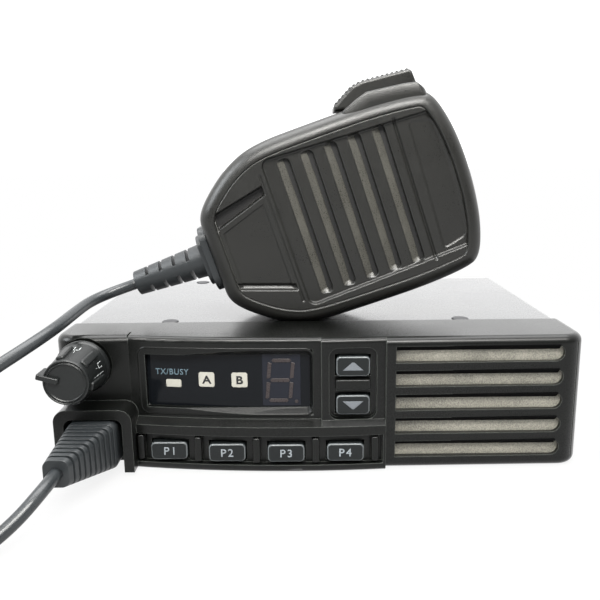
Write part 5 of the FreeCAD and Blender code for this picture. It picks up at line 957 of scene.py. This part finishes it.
def collar():
    """Ring of rounded rectangles in plan whose height follows the lever's slope."""
    left, right, front, back, corner, foot = 9.6, 36.6, -8.2, 12.2, 2.0, 23.0
    crest_s, crest_t = (9.6, 10.6, 18.4, 34.3, 36.4, 38), (29.0, 29.9, 33.1, 31.2, 28.4, 26.5)
    profile = [(0.9, 9.0), (0.9, 3.0), (0.3, 0.5), (0.1, 0.12), (-0.3, 0.0), (-3.6, 0.0), (-4.0, 0.15),
               (-4.1, 0.6), (-4.1, 7.0)]
    rings = []
    for grow, drop in profile:
        plan = corner_loop(left - grow * 0.3, front - grow, right + grow * 0.35, back + grow * 0.6,
                           max(corner + grow * 0.4, 0.4), 6, (6, 24))
        s, y = plan.T
        rings.append(on_handset(s, np.maximum(np.interp(s, crest_s, crest_t) - drop, foot), y))
    return loft("lever_collar", [rings], handset_plastic, "handset", closed=True)


def lever():
    """Outline of the lever drawn in towards both of its sides, which rounds their edges."""
    front, back, rounding = -3.5, 9.5, 0.25
    corners = np.array([(8.4, 31.0), (8.9, 32.5), (16.0, 36.3), (19.4, 36.8), (34.4, 35.5), (35.1, 34.6),
                        (35.5, 30.2), (35.5, 27.4), (11.6, 27.4), (11.4, 30.4)])
    side = [(0.9, 0.0), (0.35, 0.15), (0.1, 0.45), (0.0, 0.9)]
    steps = [(inset, front + y) for inset, y in side] + [(inset, back - y) for inset, y in side[::-1]]
    u = np.linspace(0, 1, 6, endpoint=False)[None, :, None]
    loops = []
    for inset, y in steps:
        now = drawn_in(corners, inset)
        after = np.roll(now, -1, axis=0)
        loop = (now[:, None] * (1 - u) + after[:, None] * u).reshape(-1, 2)
        loops.append(on_handset(*loop.T, y))
    piece = loft("talk_lever", [loops], handset_plastic, "ptt", smooth=False)
    piece.modifiers.new("soft_edges", "BEVEL").width = rounding * MM
    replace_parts(piece, "ptt_button")


def walked(path):
    """Distance from the start of a path to each of its points, along it."""
    return np.concatenate([[0], np.cumsum(np.linalg.norm(np.diff(path, axis=0), axis=1))])


def lever_teeth():
    """Half-round teeth across the lever, spaced evenly along its top line."""
    count, sides, margin = 17, 8, 0.4
    profile = [(0.1, -2.9), (0.38, -2.6), (0.42, -2.0), (0.42, 8.0), (0.38, 8.6), (0.1, 8.9)]
    way = np.array([(9.6, 32.9), (16.0, 36.3), (19.4, 36.8), (34.2, 35.5)])
    length = walked(way)
    at = np.linspace(margin, length[-1] - margin, count)
    middles = zip(*(np.interp(at, length, places) for places in way.T))
    turn = np.linspace(0, math.tau, sides, endpoint=False)
    parts = [[on_handset(s + radius * np.cos(turn), t + radius * np.sin(turn), y) for radius, y in profile]
             for s, t in middles]
    loft("lever_teeth", parts, handset_plastic, "ptt")


collar()
lever()
lever_teeth()


# Cord
# PVC moulded round eight wires and wound hot, so that it springs back into curls. From the plug it
# goes out to the left, coils beside the radio and comes back past its side to the handset. The
# leads' routes are lines through given points.

cord_rubber = grained("cord_rubber", (40, 43, 45), 0.3, depth_mm=0.006, grain_mm=0.5, mottle=0.06)

coil_radius, wire_radius = 3.7, 1.8
coil_start = Vector((-106, -84, 5.8))
heading = math.radians(112.3)
leg_way = Vector((math.cos(heading), math.sin(heading), 0))
turn_way = Vector((-math.sin(heading), math.cos(heading), 0))
leg, bend, curls = 24, 36, 35
relief_way = Vector((-math.cos(mic_turn), 0, -math.sin(mic_turn)))
relief_end = Vector((8.35, -21.8, 75.1)) + relief_way * 71.5
boot_end = Vector((-69.9, -79.8, 11.4))


def coil_route():
    """Points of the coil's centre line: a leg, a half circle and a leg back."""
    corners = 4
    bend_centre = coil_start + leg_way * leg + turn_way * bend
    corner = bend / math.cos(math.pi / corners / 2)
    points = [coil_start, coil_start + leg_way * leg * 0.6]
    for i in range(corners):
        angle = math.pi * (i + 0.5) / corners
        points.append(bend_centre - turn_way * corner * math.cos(angle) + leg_way * corner * math.sin(angle))
    last = bend_centre + turn_way * bend - leg_way * leg
    points += [last + leg_way * leg * 0.4, last]
    return points


def spline_points(name, points):
    """The smooth line through the given control points, read back from its own NURBS curve."""
    data = bpy.data.curves.new(name, "CURVE")
    data.dimensions = "3D"
    data.resolution_u = 24
    spline = data.splines.new("NURBS")
    spline.points.add(len(points) - 1)
    for slot, point in zip(spline.points, points):
        slot.co = (*(point * MM), 1)
    spline.order_u = 3
    spline.use_endpoint_u = True
    return curve_mesh(name, data)[1]


def tube(name, path, radius, sides=14):
    """Closed tube: a circle carried along a dense path, turned as little as the path allows."""
    ways = np.gradient(path, axis=0)
    ways /= np.linalg.norm(ways, axis=1)[:, None]
    across = np.cross(ways[0], (0.3, 0.2, 1))
    turn = np.linspace(0, math.tau, sides, endpoint=False)
    rings = []
    for point, way in zip(path, ways):
        across = across - way * across.dot(way)
        across /= np.linalg.norm(across)
        circle = np.outer(np.cos(turn), across) + np.outer(np.sin(turn), np.cross(way, across))
        rings.append(point + radius * circle)
    mesh = bpy.data.meshes.new(name)
    mesh.from_pydata(np.concatenate(rings).tolist(), [], loft_faces(len(path), sides))
    mesh.shade_smooth()
    mesh.materials.append(cord_rubber)
    return new_object(name, mesh)


def resample(path, step):
    """The same path with points at even distances."""
    along = walked(path)
    places = np.linspace(0, along[-1], max(2, round(along[-1] / step)))
    return np.stack([np.interp(places, along, path[:, k]) for k in range(3)], axis=1)


def wind(line, radius, turns):
    """Helix round a line, growing out of it and shrinking back over the first and last turns."""
    ramp, samples = 1.5, 28
    base = resample(line, walked(line)[-1] / (turns * samples))
    turn = np.linspace(0, turns, len(base))
    share = np.minimum(np.minimum(turn, turns - turn), ramp) / ramp
    reach = radius * MM * (3 - 2 * share) * share**2
    ways = np.gradient(base, axis=0)
    side = np.cross(ways, (0, 0, 1))
    side /= -np.linalg.norm(side, axis=1)[:, None]
    swing = math.tau * turn
    return base + side * (reach * np.cos(swing))[:, None] + np.outer(reach * np.sin(swing), (0, 0, 1))


lead_in = wire_radius * 2
coil_end = coil_route()[-1]
coil_first = coil_start - leg_way * lead_in
coil_last = coil_end - leg_way * lead_in
plug_turns = ((-75, -96, 6), (-82, -103.5, 2), (-90, -107.5, 2), (-98.5, -102.5, 3.6))
plug_route = [boot_end, boot_end + Vector((0, -8.2, 0)), *map(Vector, plug_turns),
              coil_first - leg_way * 9, coil_first]
mic_turns = ((-73.6, -30, 47.9), (-74.6, -43, 46.9), (-75.2, -56, 45.8), (-79.5, -68, 43), (-88, -80, 38),
             (-97, -93, 28.5), (-105, -107, 18), (-115, -120, 8.5), (-129, -129, 4.2), (-146, -131.5, 3.2),
             (-160, -127.5, 4.6))
mic_route = [relief_end, relief_end + relief_way * 9, *map(Vector, mic_turns), coil_last - leg_way * 9,
             coil_last]
path_step = 1.5 * MM


def add_curly_cord():
    """From the handset along its lead, through all the curls, to the start of the plug's lead."""
    lead = resample(np.vstack([spline_points("mic_route", mic_route), [coil_end * MM]]), path_step)
    curled = wind(spline_points("coil_route", coil_route()), coil_radius, curls)
    path = np.vstack([lead[:-1], curled[::-1], [coil_first * MM]])
    cord = tube("curly_cord", path, wire_radius * MM)
    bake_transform(cord)
    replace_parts(cord, "mic_lead", "cord_curls")


def add_plug_cord():
    """From the plug's boot to the start of the curls."""
    path = resample(spline_points("plug_route", plug_route), path_step)
    cord = tube("plug_cord", path, wire_radius * MM)
    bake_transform(cord)
    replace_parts(cord, "plug_lead")


add_curly_cord()
add_plug_cord()
